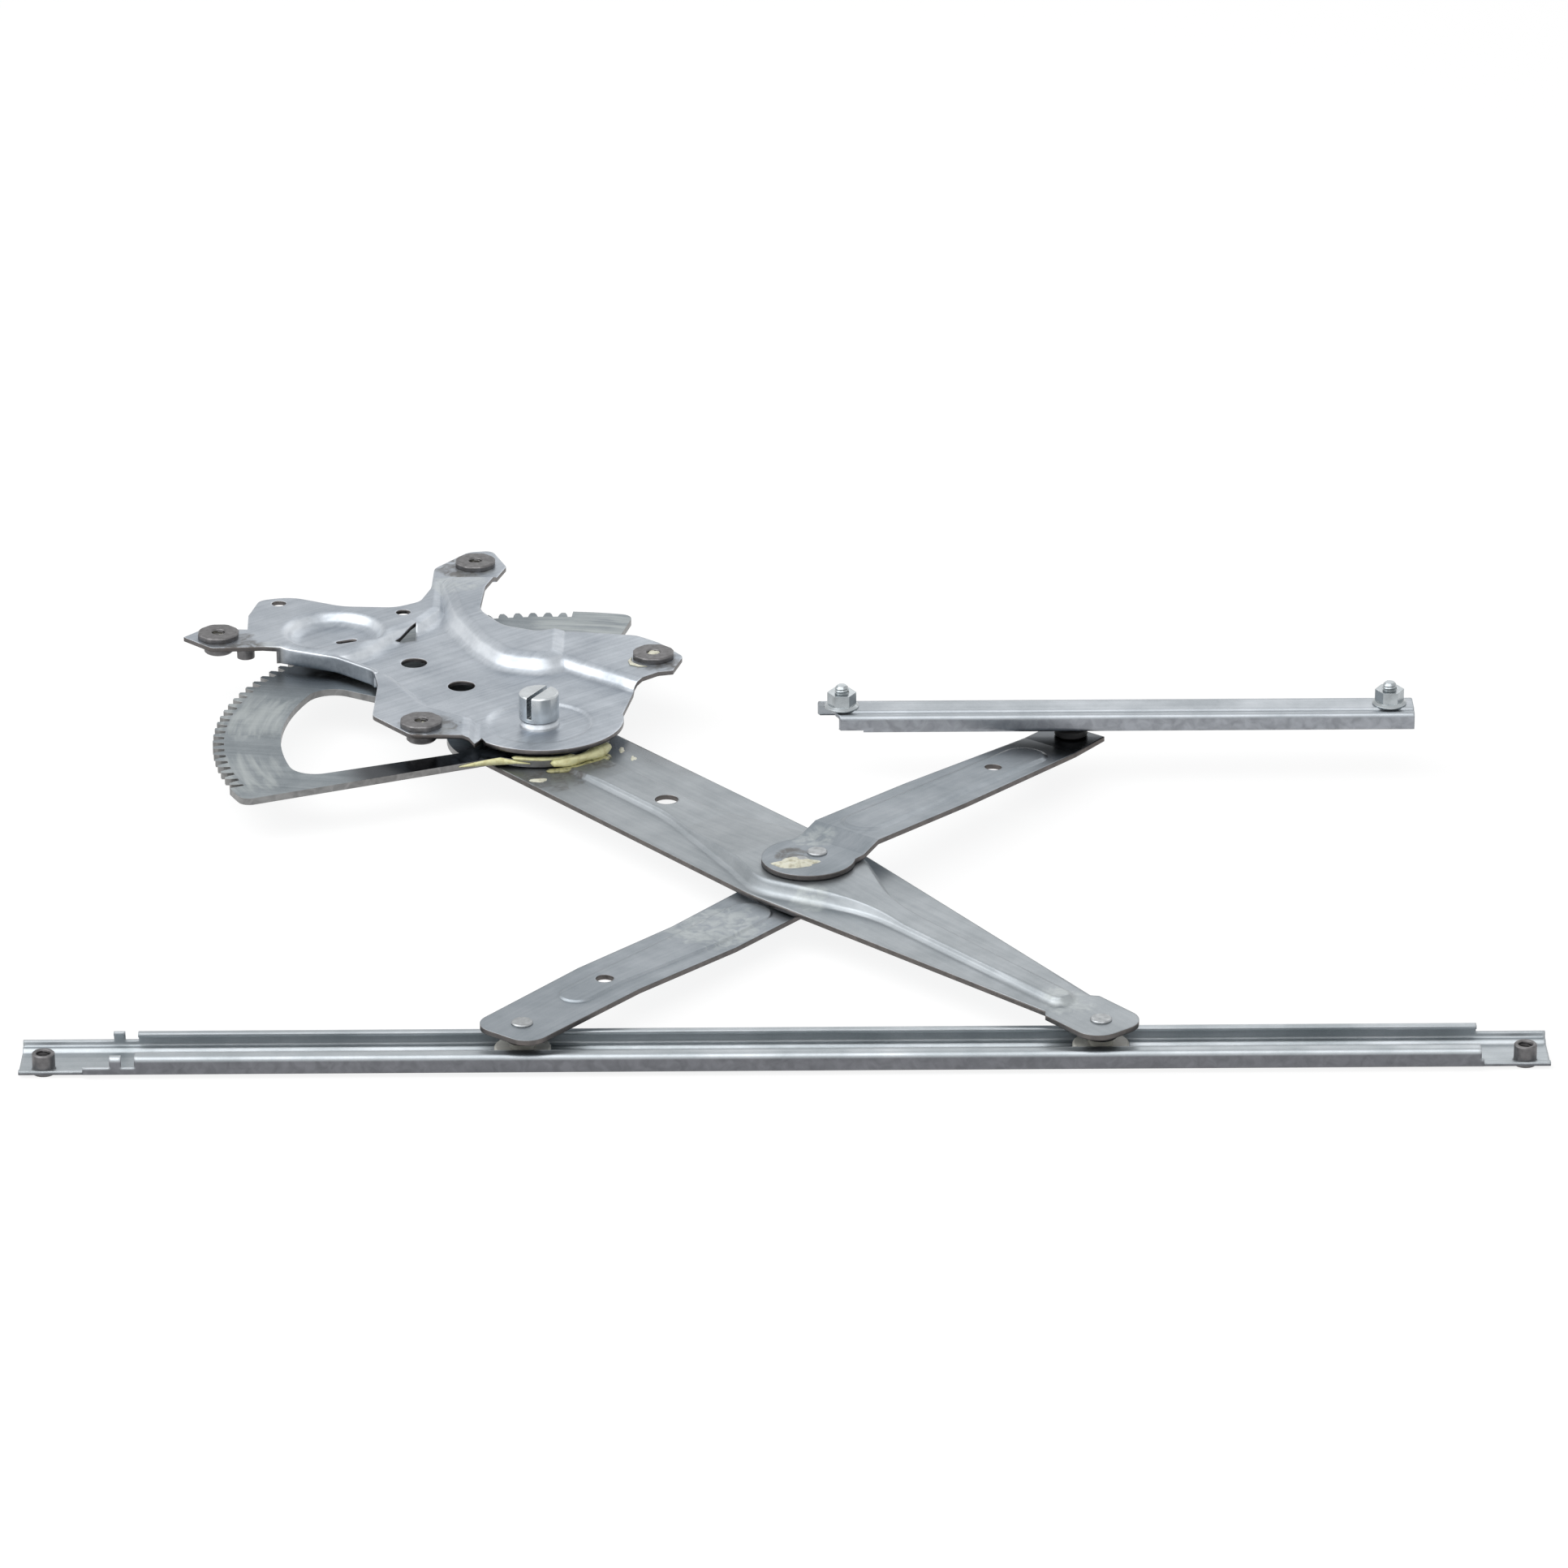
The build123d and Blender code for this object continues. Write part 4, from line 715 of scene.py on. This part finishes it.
def dab(name, centre, radii, height, body, material, seed):
    """A low lump of grease on a surface: rings of points with a wandering rim."""
    around, rings = 28, 6
    cx, cy, cz = centre
    points = [(cx, cy, cz + height)]
    for ring in range(1, rings + 1):
        share = ring / rings
        for step in range(around):
            turn = 2 * pi * step / around
            wander = noise.noise(Vector((cos(turn) * 1.3, sin(turn) * 1.3, seed))) * 0.55 + 1
            lift = noise.noise(Vector((cos(turn) * share * 3, sin(turn) * share * 3, seed + 9)))
            points.append((
                cx + radii[0] * share * wander * cos(turn),
                cy + radii[1] * share * wander * sin(turn),
                cz + height * max(1 - share ** 2, 0) * (1 + 0.5 * lift),
            ))
    faces = [(0, 1 + step, 1 + (step + 1) % around) for step in range(around)]
    for ring in range(rings - 1):
        for step in range(around):
            a = 1 + ring * around + step
            b = 1 + ring * around + (step + 1) % around
            faces.append((a, a + around, b + around, b))
    return piece(name, points, faces, body, material)


def bead(name, path, thickness, body, material, seed, flat=0.6):
    """A squeezed-out bead of grease along a path of points."""
    around = 12
    points, faces = [], []
    for number, (x, y, z) in enumerate(path):
        before = Vector(path[max(number - 1, 0)])
        after = Vector(path[min(number + 1, len(path) - 1)])
        along = (after - before).normalized()
        side = along.cross(Vector((0, 0, 1))).normalized()
        ends = min(number, len(path) - 1 - number) / 2
        swell = thickness * min(1, 0.15 + ends) * (
            1 + 0.7 * noise.noise(Vector((x * 0.09, y * 0.09, seed)))
        )
        for step in range(around):
            turn = 2 * pi * step / around
            lump = 1 + 0.35 * noise.noise(Vector((x * 0.11 + cos(turn), y * 0.11 + sin(turn), seed)))
            offset = side * (cos(turn) * swell * lump)
            points.append((x + offset.x, y + offset.y, z + sin(turn) * swell * lump * flat))
    for number in range(len(path) - 1):
        for step in range(around):
            a = number * around + step
            b = number * around + (step + 1) % around
            faces.append((a, b, b + around, a + around))
    faces.append(tuple(range(around))[::-1])
    faces.append(tuple(range(len(points) - around, len(points))))
    return piece(name, points, faces, body, material)


def arc_path(radius, start, end, z, steps):
    """Points on an arc round the main pivot, in degrees."""
    turns = [radians(start + (end - start) * step / steps) for step in range(steps + 1)]
    return [(radius * cos(turn), radius * sin(turn), z) for turn in turns]


print("An arc of 30 steps has", len(arc_path(1, 0, 90, 0, 30)), "points")

# %% [markdown]
# ## Where the grease lies
# The yellow bead is squeezed out between the plate and the gear, along the front of the main
# pivot, and it follows the gear's edge to the left. A flat, dirty foot lies under it on the
# arm. The cream grease sits on the scissor joint, on the arm below the pivot, in the mouths
# of the weld nuts and beside the right one.

# %% Grease pieces
ARM_TOP = -11.1           # height of the lift arm's flange, in millimetres

bead("pivot_grease_rim", arc_path(27.6, -112, -58, -6.7, 30), 1.3, "lift", yellow_grease, 3.1)
bead("pivot_grease_front", arc_path(28.4, -80, -20, -8.4, 44), 2.3, "lift", yellow_grease, 5.2, 0.8)
bead("gear_edge_grease", [(-31.0, -31.0, -8.4), (-26.0, -28.9, -8.4), (-21.0, -26.8, -8.3),
     (-15.0, -25.4, -8.3), (-9.0, -26.9, -8.3), (-3.0, -28.2, -8.4)], 1.3, "lift",
     yellow_grease, 9.4, 0.9)
bead("pivot_grease_foot", arc_path(30.6, -84, -26, -10.7, 40), 2.2, "lift", dirty_grease, 7.7, 0.35)
dab("scissor_grease", (101.5, -138.6, -3.55), (8.5, 4.6), 1.5, "equalizer", cream_grease, 2.2)
dab("arm_grease_front", (0.3, -38.6, ARM_TOP), (4.0, 2.0), 0.5, "lift", cream_grease, 3.3)
dab("arm_grease_back", (33.0, -8.5, ARM_TOP), (1.2, 2.6), 0.5, "lift", cream_grease, 5.7)
dab("arm_grease_middle", (37.5, -17.0, ARM_TOP), (1.1, 2.2), 0.4, "lift", cream_grease, 8.8)
dab("nut_grease_left", (-131.5, 82.0, 2.0), (2.4, 2.4), 1.2, "base", cream_grease, 4.4)
dab("nut_grease_back", (-29.9, 159.2, 2.2), (2.3, 2.3), 1.0, "base", cream_grease, 5.1)
dab("nut_grease_front", (-45.6, -13.4, 2.4), (2.3, 2.3), 1.1, "base", cream_grease, 6.3)
dab("nut_grease_right", (44.9, 56.8, 4.0), (2.55, 2.55), 0.7, "base", cream_grease, 1.9)
bead("plate_grease_right", [(36.2, 56.0, 2.6), (35.4, 52.0, 2.6), (36.4, 48.6, 2.6),
     (39.2, 46.6, 2.6), (42.5, 45.9, 2.6)], 1.1, "base", cream_grease, 8.2, 0.5)

# %% [markdown]
# ## Threads
# A nut without a thread looks like a plain bushing as soon as the light falls into it. A
# thread is one ridge wound up the bore, so it is built as that: three points of a V are
# turned and raised by one pitch for each turn. An M6 thread climbs 1 mm for a turn.

# %% Threads
M6_PITCH = 1.0
NUT_WALL, NUT_CREST = 2.6, 2.38      # radii: in a nut, the ridge stands inwards
STUD_WALL, STUD_CREST = 2.5, 2.85    # on a stud, it stands outwards
ROOT_SINK = 0.03                     # the ridge's root goes this far into the wall


def thread(name, centre, low, high, wall, crest, body, material):
    """A helical ridge between two heights. It stands from the wall's radius to the crest's."""
    around = 28
    cx, cy = centre
    sunk = ROOT_SINK if wall > crest else -ROOT_SINK
    steps = int((high - low - M6_PITCH) / M6_PITCH * around)
    points, faces = [], []
    for step in range(steps + 1):
        turn = 2 * pi * step / around
        z = low + M6_PITCH * step / around
        for radius, rise in ((wall + sunk, 0.0), (crest, M6_PITCH / 2), (wall + sunk, M6_PITCH)):
            points.append((cx + radius * cos(turn), cy + radius * sin(turn), z + rise))
    for step in range(steps):
        a = 3 * step
        faces += [(a, a + 3, a + 4, a + 1), (a + 1, a + 4, a + 5, a + 2)]
    piece(name, points, faces, body, material, smooth=False)


for place, x, y in (("left", -132.8, 81.0), ("back", -30.5, 159.5), ("front", -46.4, -13.5),
                    ("right", 44.9, 56.6)):
    thread(f"weld_nut_thread_{place}", (x, y), -3.2, 4.1, NUT_WALL, NUT_CREST, "base",
           weld_nut_steel)
for place, x in (("left", -175.0), ("right", 367.0)):
    thread(f"glass_nut_thread_{place}", (x, -271.3), -26.6, -19.3, NUT_WALL, NUT_CREST,
           "glass_carrier", weld_nut_steel)
for place, x in (("left", 120.5), ("right", 338.5)):
    thread(f"guide_stud_thread_{place}", (x, 0.0), 9.6, 12.5, STUD_WALL, STUD_CREST, "base",
           nut_zinc)
